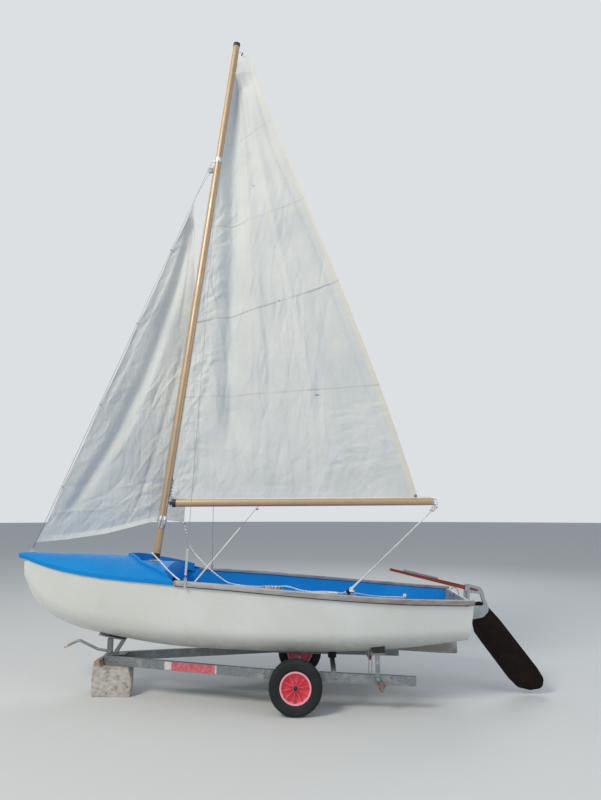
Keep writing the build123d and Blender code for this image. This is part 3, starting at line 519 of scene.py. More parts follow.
def creases(x, z, rows):
    """Sum of short creases: each is a ridge exp(-|d| / w), with d its distance, faded along its length.

    A row holds the number of creases, what draws their centres, the lean's mean and spread, the length,
    width and depth in metres, and the seed."""
    total, flat_x, flat_z = np.zeros(x.size), x.ravel(), z.ravel()
    for count, centre, lean, length, width, depth, seed in rows:
        chance = np.random.default_rng(seed)
        for _ in range(count):
            where = centre(chance)
            angle = lean[0] + lean[1] * chance.standard_normal()
            run, wide = length * chance.uniform(0.5, 1.6), width * chance.uniform(0.7, 1.6)
            along = (flat_x - where[0]) * cos(angle) + (flat_z - where[1]) * sin(angle)
            off = (flat_z - where[1]) * cos(angle) - (flat_x - where[0]) * sin(angle)
            off = off + 0.25 * run * (along / run) ** 2 * chance.uniform(-1, 1)
            near = np.exp(-np.abs(off) / wide) * np.exp(-(along / run) ** 2)
            total += depth * chance.uniform(0.4, 1.0) * chance.choice([-1, 1]) * near
    return total.reshape(x.shape)


def held(side, u, v, at_leech, foot, head):
    """Sideways set eased to nothing at luff, foot and head, and to a share at the leech, then blurred once:
    each point is 0.4 of itself and 0.15 of each neighbour."""
    side = side * ramp(u, 0, 0.02) * np.clip((1 - u) / 0.012, at_leech, 1) * ramp(v, 0, foot) * ramp(v, 1, -head)
    soft = side.copy()
    beside = side[2:, 1:-1] + side[:-2, 1:-1] + side[1:-1, 2:] + side[1:-1, :-2]
    soft[1:-1, 1:-1] = 0.4 * side[1:-1, 1:-1] + 0.15 * beside
    return soft


# %% Sailcloth
def sailcloth(name, seams, marks, crumple):
    """Old polyester sailcloth: cool off-white, yellowed patches, grey stitched seams and dark marks.

    A seam is (height at the luff, rise towards the leech, colour), as shares of the sail, and a mark is
    (across, up). crumple deepens the crushed band along the luff."""
    cloth = start(name, "#CFD3D3", 0.66)
    woven = add(cloth, "TexCoord").outputs["UV"]
    across, up = add(cloth, "SeparateXYZ", {0: woven}).outputs[:2]
    hem = add(cloth, "MapRange", {"Value": across, "From Min": 0.972, "From Max": 0.978}).outputs[0]
    dirty = patches(cloth, 0.22, 0.2, 0.72, 3)
    layers = [(patches(cloth, 0.5, 0.35, 0.7, 4), "#C0C6C9"),
              (overlap(cloth, patches(cloth, 0.12, 0.55, 0.8, 5), 0.35), "#CFC9B6"), (hem, "#D3D1C6")]
    for low, slope, tone in seams:
        line = add(cloth, "Math", {0: across, 1: -slope, 2: up}, operation="MULTIPLY_ADD").outputs[0]
        near = add(cloth, "Math", {0: line, 1: low, 2: 0.0019}, operation="COMPARE").outputs[0]
        layers.append((overlap(cloth, near, dirty), tone))
    tall = add(cloth, "Mapping", {"Vector": woven, "Scale": (1, 5, 1)}).outputs[0]
    for u, v in marks:
        away = add(cloth, "VectorMath", {0: tall, 1: (u, 5 * v, 0)}, operation="DISTANCE").outputs[1]
        spot = add(cloth, "MapRange", {"Value": away, "From Min": 0.016, "From Max": 0.004}).outputs[0]
        layers.append((spot, "#8D9294"))
    painted(cloth, *layers)

    place = add(cloth, "TexCoord").outputs["Object"]
    warp = add(cloth, "TexNoise", {"Vector": place, "Scale": 6.0, "Detail": 2.0}).outputs[1]
    bent = add(cloth, "VectorMath", {0: warp, 1: (0.12, 0.12, 0.12), 2: place}, operation="MULTIPLY_ADD")
    by_luff = towards(cloth, tuple(AFT_MAST), *[float(on_mast(0, aft) @ AFT_MAST) for aft in (0.24, 0.08)])
    crushed = overlap(cloth, by_luff, towards(cloth, UP, 4.6, 3.2), crumple)
    # size in metres of the flat facets between creases, the height and strength of their edges, and where
    for size, stretch, height, strength, where in ((0.07, 0.4, 0.004, 0.7, crushed),
                                                   (0.10, 0.22, 0.003, 0.5, towards(cloth, UP, 4.4, 2.6)),
                                                   (0.06, 0.5, 0.001, 0.4, 1.0)):
        turned = add(cloth, "Mapping", {"Vector": bent.outputs[0], "Scale": (1, 1, stretch)}).outputs[0]
        cells = add(cloth, "TexVoronoi", {"Vector": turned, "Scale": 1 / size}, feature="DISTANCE_TO_EDGE")
        ridge = add(cloth, "MapRange", {"Value": cells.outputs[0], "From Max": 0.22},
                    interpolation_type="SMOOTHSTEP").outputs[0]
        dent(cloth, overlap(cloth, ridge, where), height, strength)
    dent(cloth, patches(cloth, 0.05, 0.2, 0.8, 6), 0.004, 0.5)
    return cloth


MAIN_CLOTH = sailcloth("old_sailcloth", [(0.208, 0.02, "#B4B9BB"), (0.37, 0.085, "#969C9F"), (0.588, 0.06, "#B7BCBE"),
                                         (0.795, 0.05, "#B7BCBE")], [(0.545, 0.417), (0.67, 0.21), (0.44, 0.69)], 1.0)
JIB_CLOTH = sailcloth("old_jib_cloth", [(0.33, 0.05, "#BEC3C4"), (0.66, 0.04, "#BEC3C4")], [], 0.15)

# %% Mainsail
LUFF_FOOT, LUFF_HEAD = 0.538, 5.06   # metres up the mast
LEECH = [(1.6276, 1.2766), (2.062, 1.1639), (2.926, 0.8839), (3.951, 0.4859), (5.110, 0.0839), (6.160, -0.2951)]
# each fold: (share up, share across) from its foot to its head, then its width and depth in metres
MAIN_FOLDS = [
    ([(0.10, 0.24), (0.25, 0.21), (0.37, 0.212), (0.6, 0.2), (0.8, 0.14), (0.97, 0.07)], 0.095, 0.08),
    ([(0.46, 0.335), (0.61, 0.352), (0.77, 0.34), (0.87, 0.285), (0.99, 0.09)], 0.028, -0.013),
    ([(0.18, 0.645), (0.42, 0.633), (0.52, 0.623), (0.7, 0.595), (0.9, 0.5), (0.99, 0.3)], 0.03, -0.011),
    ([(0.02, 0.975), (0.14, 0.945), (0.43, 0.935), (0.55, 0.93), (0.66, 0.897), (0.77, 0.84), (0.9, 0.845),
      (0.99, 0.9)], 0.035, 0.011),
    ([(0.1, 0.42), (0.3, 0.44), (0.5, 0.46), (0.7, 0.47), (0.95, 0.35)], 0.05, 0.008),
    ([(0.05, 0.8), (0.3, 0.79), (0.55, 0.77), (0.8, 0.7)], 0.05, 0.007)]


def spread(low, high):
    """Draws a crease's centre evenly from a box of (x, z)."""
    return lambda chance: (chance.uniform(*low), chance.uniform(*high))


def luff_side(chance):
    """Draws a crease's centre close behind the mast, more of them low down."""
    return on_mast(0.5 + 3.0 * chance.random() ** 1.3, 0.04 + 0.2 * chance.random())[[0, 2]]


def mainsail_grid(rows=470, cols=210):
    """P(u, v) = luff(v) (1 - u) + leech(v) u, the leech a cubic through its places, y from camber and folds."""
    v, u = grid(rows, cols)
    luff = on_mast(LUFF_FOOT + v * (LUFF_HEAD - LUFF_FOOT), BEHIND_TRACK)
    heights, places = zip(*LEECH)
    z = heights[0] + (heights[-1] - heights[0]) * v
    leech = np.stack([np.polyval(np.polyfit(heights, places, 3), z), 0 * z, z], 2)
    points = luff * (1 - u[..., None]) + leech * u[..., None]
    points[..., 2] += np.clip(1 - v / 0.02, 0, 1) * np.sin(pi * u) * 0.004
    y = 0.05 * np.sin(pi * u) ** 0.8 * np.sin(pi * v) ** 0.6
    y += long_folds(u, v, np.linalg.norm(leech - luff, axis=2), MAIN_FOLDS)
    y += creases(points[..., 0], points[..., 2], [
        (170, luff_side, (pi / 2 - 0.45, 0.5), 0.08, 0.015, 0.0085, 3),
        (150, spread((-0.7, 0.5), (1.8, 3.7)), (pi / 2 + 0.05, 0.1), 0.24, 0.014, 0.0085, 5),
        (45, spread((0.55, 1.05), (1.9, 2.5)), (0.12, 0.3), 0.11, 0.014, 0.006, 7),
        (110, spread((-0.85, 1.15), (1.64, 2.1)), (pi / 2 - 0.1, 0.5), 0.10, 0.014, 0.0062, 9),
        (60, spread((-0.5, 0.2), (3.4, 5.2)), (pi / 2 - 0.12, 0.12), 0.24, 0.015, 0.0038, 11)])
    points[..., 1] = held(y, u, v, 0.25, 0.012, 0.02)
    return points


def cloth_piece(name, points):
    """The cloth's mesh, with its own map: 0 to 1 from luff to leech and from foot to head."""
    rows, cols = points.shape[:2]
    return surface(name, points, uv=(np.linspace(0, 1, cols), np.linspace(0, 1, rows)))


def sheet_area(points):
    """Area of a grid of points: the sum of half the lengths of the diagonals' cross products."""
    one, two = points[1:, 1:] - points[:-1, :-1], points[1:, :-1] - points[:-1, 1:]
    return float(np.linalg.norm(np.cross(one, two), axis=2).sum() / 2)


main_points = mainsail_grid()
mainsail = cloth_piece("mainsail_cloth", main_points)
dress(mainsail, "sailcloth", MAIN_CLOTH, None, "mainsail")
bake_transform(mainsail)
print("mainsail", round(sheet_area(main_points), 3), "square metres")

# %% Jib
STAY_LOW, STAY_TOP = np.array([-2.15972, 0, 1.17915]), np.array([-0.65458, 0, 4.97383])
STAY = unit(STAY_TOP - STAY_LOW)
JIB_CLEW = at(1390, 350, 1407)
LUFF_LOW, LUFF_TOP = 0.062, 3.61     # metres up the stay
TACK, HEAD = STAY_LOW + STAY * LUFF_LOW, STAY_LOW + STAY * LUFF_TOP
OFF_STAY = np.array([cos(0.38), 0, -sin(0.38)])
HANKED = (0, 0.15, 0.38, 0.618, 0.845, 1)  # shares of the luff, tack and head with them
FOOT_BOW = ([0, 0.2, 0.45, 0.6, 0.78, 0.88, 1], [0, -0.012, -0.008, 0.014, 0.045, 0.036, 0])
JIB_FOLDS = [
    ([(0.04, 0.1), (0.22, 0.2), (0.32, 0.27), (0.5, 0.355), (0.65, 0.42), (0.8, 0.54), (0.95, 0.7)], 0.055, 0.036),
    ([(0.2, 0.36), (0.5, 0.5), (0.7, 0.62), (0.85, 0.74)], 0.045, -0.012),
    ([(0.3, 0.06), (0.55, 0.13), (0.75, 0.26), (0.9, 0.42)], 0.03, -0.009),
    ([(0.05, 0.62), (0.3, 0.7), (0.55, 0.82)], 0.03, 0.01), ([(0.58, 0.72), (0.8, 0.78), (0.97, 0.85)], 0.018, 0.006),
    ([(0.6, 0.3), (0.8, 0.4), (0.97, 0.5)], 0.02, 0.007)]


def within(across, up):
    """Draws a crease's centre between two shares across the jib and two shares up it."""
    def centre(chance):
        a, b = chance.uniform(*across), chance.uniform(*up)
        return (TACK * (1 - b) * (1 - a) + HEAD * b + JIB_CLEW * a * (1 - b))[[0, 2]]
    return centre


def jib_grid(rows=430, cols=220):
    """As the mainsail's: luff on the forestay in scallops, leech from the clew to the head, foot bowed."""
    v, u = grid(rows, cols)
    across, up = u[..., None], v[..., None]
    scallop = 0.012 * np.abs(np.sin(pi * np.interp(v, HANKED, range(6)))) ** 0.8
    luff = TACK + (HEAD - TACK) * up + OFF_STAY * (0.006 + scallop[..., None])
    leech = JIB_CLEW + (HEAD - JIB_CLEW) * up + np.array([1.0, 0, -0.1]) * (0.046 * np.sin(pi * up))
    points = luff * (1 - across) + leech * across
    points[..., 2] += np.interp(u, *FOOT_BOW) * (1 - v) ** 8
    wide = np.linalg.norm(leech - luff, axis=2)
    side = 0.05 * np.sin(pi * u ** 0.9) * np.sin(pi * np.clip(0.04 + 0.96 * v, 0, 0.5)) ** 0.7 * ramp(wide, 0, 0.75)
    side += 0.02 * np.sin(pi * u) * (1 - v) + long_folds(u, v, wide, JIB_FOLDS)
    side += creases(points[..., 0], points[..., 2], [
        (80, within((0.35, 1.0), (0.04, 0.5)), (pi / 2 - 0.35, 0.25), 0.17, 0.014, 0.0062, 21),
        (60, within((0.1, 0.95), (0.0, 0.14)), (0.35, 0.5), 0.10, 0.014, 0.0055, 23),
        (50, within((0.0, 0.2), (0.05, 0.9)), (0.95, 0.2), 0.13, 0.014, 0.005, 25)])
    points[..., 1] += held(side, u, v, 0.15, 0.015, 0.03)
    return points


jib_points = jib_grid()
jib = dress(cloth_piece("jib_cloth", jib_points), "sailcloth", JIB_CLOTH, "boat", "jib")
print("jib", round(sheet_area(jib_points), 3), "square metres")

# %% [markdown]
# Ropes. Each is held at both ends, so it is drawn along a smooth curve through the places where it
# is made fast. A rope's own look comes from its plait: sixteen strands that cross, so the surface
# swells and sinks in a lattice, and the coloured tracer yarns wind round it.

# %% Ropes and wires
PLAIT_LAY = 0.014                    # metres of rope for one turn of a strand
SHEET_THICK, LINE_THICK = 0.0052, 0.0056  # radii of the mainsheet and of the other lines


def smooth_path(points, step):
    """Curve through the points: cubic arcs whose slope at each is half the chord beside it, cut evenly."""
    points = np.array(points, float)
    slope = np.gradient(points, axis=0)
    t = np.linspace(0, 1, 33)[:-1, None]
    arcs = [cubic(*ends, t) for ends in zip(points[:-1], points[1:], slope[:-1], slope[1:])]
    line = np.vstack([*arcs, points[-1:]])
    gone = np.concatenate([[0], np.cumsum(np.linalg.norm(np.diff(line, axis=0), axis=1))])
    places = np.linspace(0, gone[-1], max(int(gone[-1] / step), 2) + 1)
    return np.stack([np.interp(places, gone, line[:, k]) for k in range(3)], 1), places


def tube(name, points, radius, step=0.008, sides=10, plait=0.0, aside=(0, 1, 0)):
    """Ring of points carried along a path from its closed end to its open one; plait swells it by
    cos(4 a - s) cos(4 a + s), a round it and s along it."""
    line, gone = smooth_path(points, step)
    ahead = unit(np.gradient(line, axis=0))
    out = unit(np.cross(ahead, aside))
    over = np.cross(ahead, out)
    turn, laid = angles(sides), 2 * pi * gone[:, None] / PLAIT_LAY
    size = radius * (1 + plait * np.cos(4 * turn - laid) * np.cos(4 * turn + laid))
    ring = out[:, None] * np.cos(turn)[None, :, None] + over[:, None] * np.sin(turn)[None, :, None]
    points = capped(line[:, None] + ring * size[..., None], last=False)
    return solid_of(name, points, uv=(np.arange(sides + 1) / sides, np.append(gone[0], gone)), close_v=True)


def braid(name, ground, tracer, pitch):
    """Plaited cord: ground colour with a tracer that winds round it, one turn in pitch metres."""
    cord = start(name, ground, 0.8)
    place = add(cord, "TexCoord").outputs["UV"]
    around, along = add(cord, "SeparateXYZ", {0: place}).outputs[:2]
    phase = add(cord, "Math", {0: along, 1: 1 / pitch, 2: around}, operation="MULTIPLY_ADD").outputs[0]
    beat = add(cord, "Math", {0: phase}, operation="FRACT").outputs[0]
    mark = add(cord, "Math", {0: beat, 1: 0.32}, operation="LESS_THAN").outputs[0]
    painted(cord, (patches(cord, 0.05, 0.35, 0.7), "#C9C6BC"), (mark, tracer))
    return cord


ROPE_WHITE = braid("white_braid", "#ECECEA", "#D9DADB", 0.02)
ROPE_BLUE = braid("blue_white_braid", "#EEF0F2", "#2F5FA8", 0.035)
ROPE_PALE = braid("pale_braid", "#EEF0F2", "#9FC3E6", 0.03)


def rope(name, points, radius, finish=ROPE_WHITE, body="boat", step=0.006, sides=10, plait=0.1):
    """Plaited rope or, with no plait, a thin lashing, dressed and on its body."""
    return dress(tube(name, points, radius, step, sides, plait), "sailcloth", finish, body)


def wire(name, points, radius, body="boat", step=0.02, sides=8):
    """Drawn wire, dressed and on its body."""
    return dress(tube(name, points, radius, step, sides), "wire_steel", None, body)


# %% Blocks, knots and hanks of rope
def pulley(name, place, size, tilt=0.0, wide=0.014):
    """Rope block: two round cheeks on a sheave, a lens profile turned about Y, then leaned by tilt."""
    across = np.array([0, 0.55, 1.0, 1.0, 0.72, 0.72, 1.0, 1.0, 0.55, 0]) * size / 2
    depth = np.array([-1, -0.95, -0.7, -0.42, -0.36, 0.36, 0.42, 0.7, 0.95, 1]) * wide / 2
    turn = angles(28)
    long = 1 + 0.35 * np.maximum(np.cos(turn - tilt), 0) ** 3
    x, z = across[:, None] * np.sin(turn) * long, across[:, None] * np.cos(turn) * long
    points = np.stack([place[0] + x, place[1] + 0 * x + depth[:, None], place[2] + z], 2)
    return solid_of(name, points, close_v=True)


def knot(name, place, size, turns=0, finish=ROPE_WHITE, body="boat"):
    """Overhand knot: a trefoil (sin a + 2 sin 2a, cos a - 2 cos 2a, -sin 3a) drawn tight, turned by 40 degree steps."""
    a = np.linspace(0, 2 * pi, 60)
    loop = np.stack([np.sin(a) + 2 * np.sin(2 * a), np.cos(a) - 2 * np.cos(2 * a), -1.4 * np.sin(3 * a)], 1) / 3
    turn = radians(40 * turns)
    loop = loop @ np.array([[cos(turn), 0, sin(turn)], [0, 1, 0], [-sin(turn), 0, cos(turn)]])
    return rope(name, np.array(place) + loop * size / 2, size / 6.5, finish, body, 0.004, 8, 0.0)


def flaked(name, centre, long, wide, turns, seed, finish=ROPE_WHITE, radius=LINE_THICK):
    """Flaked rope: a flattened helix of long loops, each a little out of line with the last."""
    chance = np.random.default_rng(seed)
    a = np.linspace(0, 2 * pi * turns, 14 * turns)
    uneven = np.interp(a, np.linspace(0, a[-1], 2 * turns), chance.uniform(-1, 1, 2 * turns))
    x = centre[0] + long / 2 * (1 + 0.12 * uneven) * np.cos(a)
    y = centre[1] + wide / 2 * np.sin(a) + 0.01 * np.sin(0.7 * a)
    piled = np.interp(a, np.linspace(0, a[-1], 3 * turns), chance.uniform(0, 2.6, 3 * turns))
    z = centre[2] + radius * (1.0 + 0.9 * piled)
    return dress(tube(name, np.stack([x, y, z], 1), radius, 0.007, 8, 0.1, (0, 0, 1)), "sailcloth", finish)


# %% Mainsheet: from the boom's end to the block on the centreboard case
SHEET_TOP, SHEET_LOW = np.array([1.440, 0, 1.548]), np.array([0.668, 0, 0.836])
SHEET_MIDDLE = (SHEET_TOP + SHEET_LOW) / 2
SHEET_RUNS = (((0, -0.007, 0), (0, -0.006, 0), (0.007, -0.005, 0)),
              ((0, 0.008, 0), (0.004, 0.008, -0.003), (-0.005, 0.006, 0)))
CASE_LID = 0.792                     # height of the centreboard case
mainsheet = joined("mainsheet", [
    tube("sheet_run", [SHEET_TOP + top, SHEET_MIDDLE + middle, SHEET_LOW + low], SHEET_THICK, 0.01, 10, 0.1)
    for top, middle, low in SHEET_RUNS])
dress(mainsheet, "sailcloth", ROPE_WHITE, None)
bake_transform(mainsheet)
dress(pulley("boom_end_block", SHEET_TOP, 0.03), "fitting_steel", None, "boom")
knot("sheet_becket_knot", (1.414, 0.004, 1.526), 0.05, 1, body="boom")

# %% Sheet tail, laid along the case and out to the far bench, and a hank of it on the case's lid
TAIL = [SHEET_LOW + [-0.01, 0.012, 0.0], (0.60, 0.02, CASE_LID + 0.012), (0.50, -0.02, CASE_LID + 0.006),
        (0.43, 0.012, CASE_LID + 0.006), (0.50, 0.035, CASE_LID + 0.008), (0.62, 0.05, CASE_LID + 0.008),
        (0.74, 0.14, 0.786), (0.86, 0.30, 0.748), (1.0, 0.42, 0.722), (1.12, 0.46, 0.715), (1.19, 0.44, 0.716)]
rope("mainsheet_tail", TAIL, SHEET_THICK)
knot("mainsheet_stopper_knot", (1.2, 0.44, 0.722), 0.042, 2)
knot("mainsheet_block_knot", SHEET_LOW + [0.012, -0.026, -0.008], 0.055, 3)
flaked("mainsheet_hank", (0.40, 0.0, CASE_LID + 0.004), 0.30, 0.075, 9, 2)

# %% Kicker, from the boom down to the near side deck
KICKER_TOP = on_mast(0.503, 0.05) + 0.79 * OUT_BOOM - 0.036 * UP_BOOM
KICKER_LOW = np.array([-0.59, -0.556, 0.952])


def kicker_at(share):
    """Place on the kicker, 0 at the boom and 1 on the side deck."""
    return KICKER_TOP + (KICKER_LOW - KICKER_TOP) * share


kicker_wire = wire("kicker_wire", [KICKER_TOP, kicker_at(0.14), kicker_at(0.3)], 0.002, None)
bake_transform(kicker_wire)
kicker_line = rope("kicker_line", [kicker_at(0.3), kicker_at(0.6), KICKER_LOW], LINE_THICK, body=None, step=0.01)
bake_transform(kicker_line)
dress(pulley("kicker_strap_block", kicker_at(0.01) + [0, 0, -0.012], 0.026), "fitting_steel", None, "boom")

# %% Jib sheet and the line beside it
JIB_SHEET = [JIB_CLEW + [-0.004, 0, 0.004], (-0.842, 0.30, 1.29), (-0.80, 0.22, 1.205), (-0.735, 0.13, 1.137),
             (-0.585, 0.0, 1.024), (-0.447, 0.0, 0.919), (-0.361, 0.0, 0.881), (-0.2, 0.0, 0.862), (-0.008, 0.0, 0.857),
             (0.114, 0.0, 0.862), (0.236, 0.0, 0.83), (0.34, 0.01, CASE_LID + 0.024), (0.45, -0.02, CASE_LID + 0.03),
             (0.578, 0.0, CASE_LID + 0.016)]
FOOT_LINE = [(-1.072, -0.045, 1.149), (-1.03, -0.11, 1.129), (-0.94, -0.24, 1.084), (-0.83, -0.41, 1.032),
             (-0.74, -0.53, 0.992), (-0.695, -0.58, 0.974)]
rope("jib_sheet_end", JIB_SHEET[:4], LINE_THICK, ROPE_BLUE)
rope("jib_sheet", JIB_SHEET[3:], LINE_THICK, ROPE_PALE)
knot("jib_clew_knot", JIB_CLEW + [0, 0, -0.012], 0.03, 0, ROPE_BLUE)
ROPE_BROWN = braid("brown_braid", "#B9968A", "#7B4538", 0.03)
flaked("jib_sheet_hank", (-0.01, 0.0, CASE_LID + 0.05), 0.17, 0.07, 6, 5, ROPE_BROWN)
flaked("jib_sheet_slack", (0.06, -0.01, CASE_LID + 0.012), 0.30, 0.07, 6, 8, ROPE_PALE)
rope("foot_line", FOOT_LINE, 0.006, step=0.01)

# %% Halyards, lying close along the mast
HALYARDS = [(-0.012, -0.036, 0.42, 3.86), (0.014, -0.036, 0.36, 3.86), (-0.0285, 0.010, 0.40, 5.2)]
for index, (y, aft, low, high) in enumerate(HALYARDS):
    t = np.linspace(low, high, 40)
    sway = 0.0012 * np.sin(9 * t + index)
    wire(f"halyard_{index + 1}", on_mast(t, aft) + np.stack([0 * t, y + sway, 0 * t], 1), 0.0018)

# %% Hanks, the forestay's block and the lashings of the shrouds
def square_axes(axis, hint):
    """An axis and two directions square to it and to each other, all one long."""
    axis = unit(np.array(axis))
    first = unit(np.cross(axis, hint))
    return axis, first, np.cross(axis, first)


def ring(name, centre, normal, radius, thick):
    """Torus about a normal: centre + (R + r cos b)(e cos a + f sin a) + r sin b n."""
    normal, first, other = square_axes(normal, [0.3, 0.9, 0.2])
    a, b = np.meshgrid(angles(24), angles(8), indexing="ij")
    out = (radius + thick * np.cos(b))[..., None] * (first * np.cos(a)[..., None] + other * np.sin(a)[..., None])
    return solid_of(name, np.array(centre) + out + (thick * np.sin(b))[..., None] * normal, close_u=True, close_v=True)


hanks = [ring(f"hank_{k}", TACK + (HEAD - TACK) * share + [0.002, 0, 0], STAY, 0.011, 0.0034)
         for k, share in enumerate(HANKED[1:-1])]
dress(joined("jib_hanks", hanks), "fitting_steel")
dress(ring("jib_head_ring", HEAD + STAY * 0.006, (0, 1, 0.2), 0.011, 0.003), "fitting_steel")
dress(pulley("forestay_block", on_mast(3.80, -0.062), 0.05, 0.2), "head_aluminium")
STROP = [on_mast(3.84, -0.034), on_mast(3.83, -0.05), on_mast(3.815, -0.06)]
rope("forestay_block_strop", STROP, 0.003, step=0.004, plait=0.0)
wire("jib_halyard", [on_mast(3.785, -0.062), on_mast(3.7, -0.1), HEAD + STAY * 0.03], 0.0018, sides=10)
for side, name in SIDES:
    low, high = np.array([-0.64797, side * 0.604, 0.9997]), np.array([-0.5874, side * 0.034, 4.962])
    t = np.linspace(0, 1, 200)
    turns = np.stack([np.cos(2 * pi * 20 * t), np.sin(2 * pi * 20 * t), 0 * t], 1) * 0.0072
    path = low + np.outer(0.015 + 0.20 * t, unit(high - low)) + turns
    rope(f"shroud_lashing_{name}", path, 0.0032, step=0.004, sides=6, plait=0.0)

# %% [markdown]
# The hull. It was laid up in a mould, so its surface runs fair from stem to transom with no flats. The
# same table of sections that the solid is lofted from gives this skin, but every column is carried on a
# smooth curve and each corner is a true arc, so the light slides along the topsides as on the real one.

# %% Hull lines
# station, beam, edge, bilge y, bilge z, keel z, bilge radius, keel radius, in mm
SECTIONS = np.array([
    (58, 14, 1120, 9, 1010, 985, 40, 4), (160, 80, 1096, 48, 880, 762, 200, 10),
    (300, 165, 1070, 105, 760, 628, 250, 30), (520, 270, 1033, 185, 640, 532, 280, 60),
    (900, 420, 994, 315, 545, 446, 280, 150),
    (1400, 548, 966, 450, 478, 378, 260, 300), (2000, 620, 928, 540, 455, 350, 230, 300),
    (2700, 648, 872, 575, 448, 343, 220, 300), (3300, 605, 830, 530, 470, 362, 210, 300),
    (3846, 466, 801, 410, 512, 420, 150, 200)], float)
TRANSOM_RAKE, RAKED_FROM, TRANSOM_AT = radians(7.0), 3580, 3846
SKIN = 10.0                          # thickness of the laminate


def fair(station):
    """Cubic through the table's rows, column by column, each row's slope that of the chord beside it."""
    places = SECTIONS[:, 0]
    bay = np.clip(np.searchsorted(places, station, side="right") - 1, 0, len(places) - 2)
    width = (places[bay + 1] - places[bay])[:, None]
    t = ((station - places[bay]) / width[:, 0])[:, None]
    row = np.arange(len(places))
    before, after = np.clip(row - 1, 0, None), np.clip(row + 1, None, len(places) - 1)
    slope = (SECTIONS[after] - SECTIONS[before]) / (places[after] - places[before])[:, None]
    return cubic(SECTIONS[bay], SECTIONS[bay + 1], slope[bay] * width, slope[bay + 1] * width, t)


def bend(before, corner, after, radius, share=1.0, count=14):
    """Points of the arc that rounds a corner: centre + r (e sin f - b cos f), f from -turn/2 to its share of turn/2."""
    one, two = corner - before, after - corner
    long = np.minimum(np.linalg.norm(one, axis=1), np.linalg.norm(two, axis=1))
    one, two = unit(one), unit(two)
    half = np.arccos(np.clip((one * two).sum(1), -1, 1)) / 2
    radius = np.minimum(radius, 0.45 * long / np.tan(half))
    inward = (two - one) / (2 * np.sin(half))[:, None]
    onward = (one + two) / (2 * np.cos(half))[:, None]
    centre = corner + inward * (radius / np.cos(half))[:, None]
    f = half[:, None] * np.linspace(-1, share, count)
    reach = onward[:, None] * np.sin(f)[..., None] - inward[:, None] * np.cos(f)[..., None]
    return centre[:, None] + reach * radius[:, None, None]


def run(start_at, end_at, count):
    """Straight points between two rows of points, ends left out."""
    t = np.linspace(0, 1, count + 2)[1:-1, None]
    return start_at[:, None] * (1 - t) + end_at[:, None] * t


def raked(station, y, z):
    """Frame point of a section: the after end leans back with the transom, keel first."""
    keel = fair(station)[:, 5:6]
    lean = ramp(station, RAKED_FROM, TRANSOM_AT - RAKED_FROM)[:, None] * np.tan(TRANSOM_RAKE)
    return np.stack([station[:, None] + (z - keel) * lean - 1000 * LENGTH / 2, y, z], 2) / 1000


def hull_half(station, inset):
    """Half section from the sheer to the keel: topside, bilge arc, bottom and keel arc."""
    _, beam, edge, bilge_y, bilge_z, keel, bilge_r, keel_r = fair(station).T
    beam, bilge_y = [y - np.minimum(inset, 0.55 * y) for y in (beam, bilge_y)]
    sheer, bilge = np.stack([beam, edge], 1), np.stack([bilge_y, bilge_z + inset / 2], 1)
    low, across = np.stack([0 * keel, keel + inset], 1), np.stack([-bilge_y, bilge_z + inset / 2], 1)
    arc, keel_arc = bend(sheer, bilge, low, bilge_r - inset), bend(bilge, low, across, keel_r - inset, 0.0, 8)
    half = [sheer[:, None], run(sheer, arc[:, 0], 12), arc, run(arc[:, -1], keel_arc[:, 0], 8), keel_arc]
    return np.concatenate(half, 1)


def hull_skin(station, inset):
    """Both halves of the skin as one row of points per station, port sheer to starboard sheer."""
    y, z = np.moveaxis(hull_half(station, inset), 2, 0)
    return raked(station, np.concatenate([-y, y[:, -2::-1]], 1), np.concatenate([z, z[:, -2::-1]], 1))


# %% Hull skin
stations = np.concatenate([np.linspace(58, 400, 70), np.linspace(412, TRANSOM_AT, 170)])
loop = np.concatenate([hull_skin(stations, 0.0), hull_skin(stations, SKIN)[:, ::-1]], 1)
hull = solid_of("hull_skin", capped(loop, last=False), close_v=True)
dress(hull, "gelcoat_white", None, "boat", "hull_shell")

# %% [markdown]
# Capping. A grey extrusion pushed over the edges of hull and liner hides the joint and takes the knocks.
# Its outer corners are round, it is bowed a little between its two lips, and a dark bead along
# the corner under it paints the line of shade there.

# %% Rub rails
CORNER = 6.0                         # radius of the profile's corners, in mm
# profile's corners in mm: (outside the beam, above the edge)
RAIL = ((0.4, -24), (19, -23), (20.5, -6), (20, 13), (-35, 14), (-35.5, -9), (-32, -9), (-32, 0.4), (0.4, 0.4))
# dark colour of the bead that paints the line of shade under the capping
SHADE_LINE_BEAD = moulded("painted_shade_bead", "#2A2826", "#3B3835", 0.7)


def rounded_corners(points, radius, steps=5):
    """Closed outline with every corner cut to a short arc, drawn as a quadratic curve between its tangents."""
    ways = [np.roll(points, shift, 0) - points for shift in (1, -1)]
    short = np.minimum(*[np.linalg.norm(way, axis=-1) for way in ways])
    reach = np.minimum(radius, 0.45 * short)[..., None]
    one, two = [unit(way) * reach + points for way in ways]
    t = np.linspace(0, 1, steps)[:, None, None, None]
    arcs = one * (1 - t) ** 2 + 2 * points * t * (1 - t) + two * t * t
    return np.concatenate([arcs[:, k] for k in range(len(points))], 0)


def along_sheer(name, stations, profile, side):
    """A profile's rounded outline carried along the sheer, its ends closed."""
    beam_and_edge = fair(stations)[:, 1:3]
    outline = rounded_corners(np.stack([beam_and_edge + corner for corner in profile]), CORNER)
    points = raked(stations, side * outline[..., 0].T, outline[..., 1].T)
    return solid_of(name, capped(points), close_v=True)


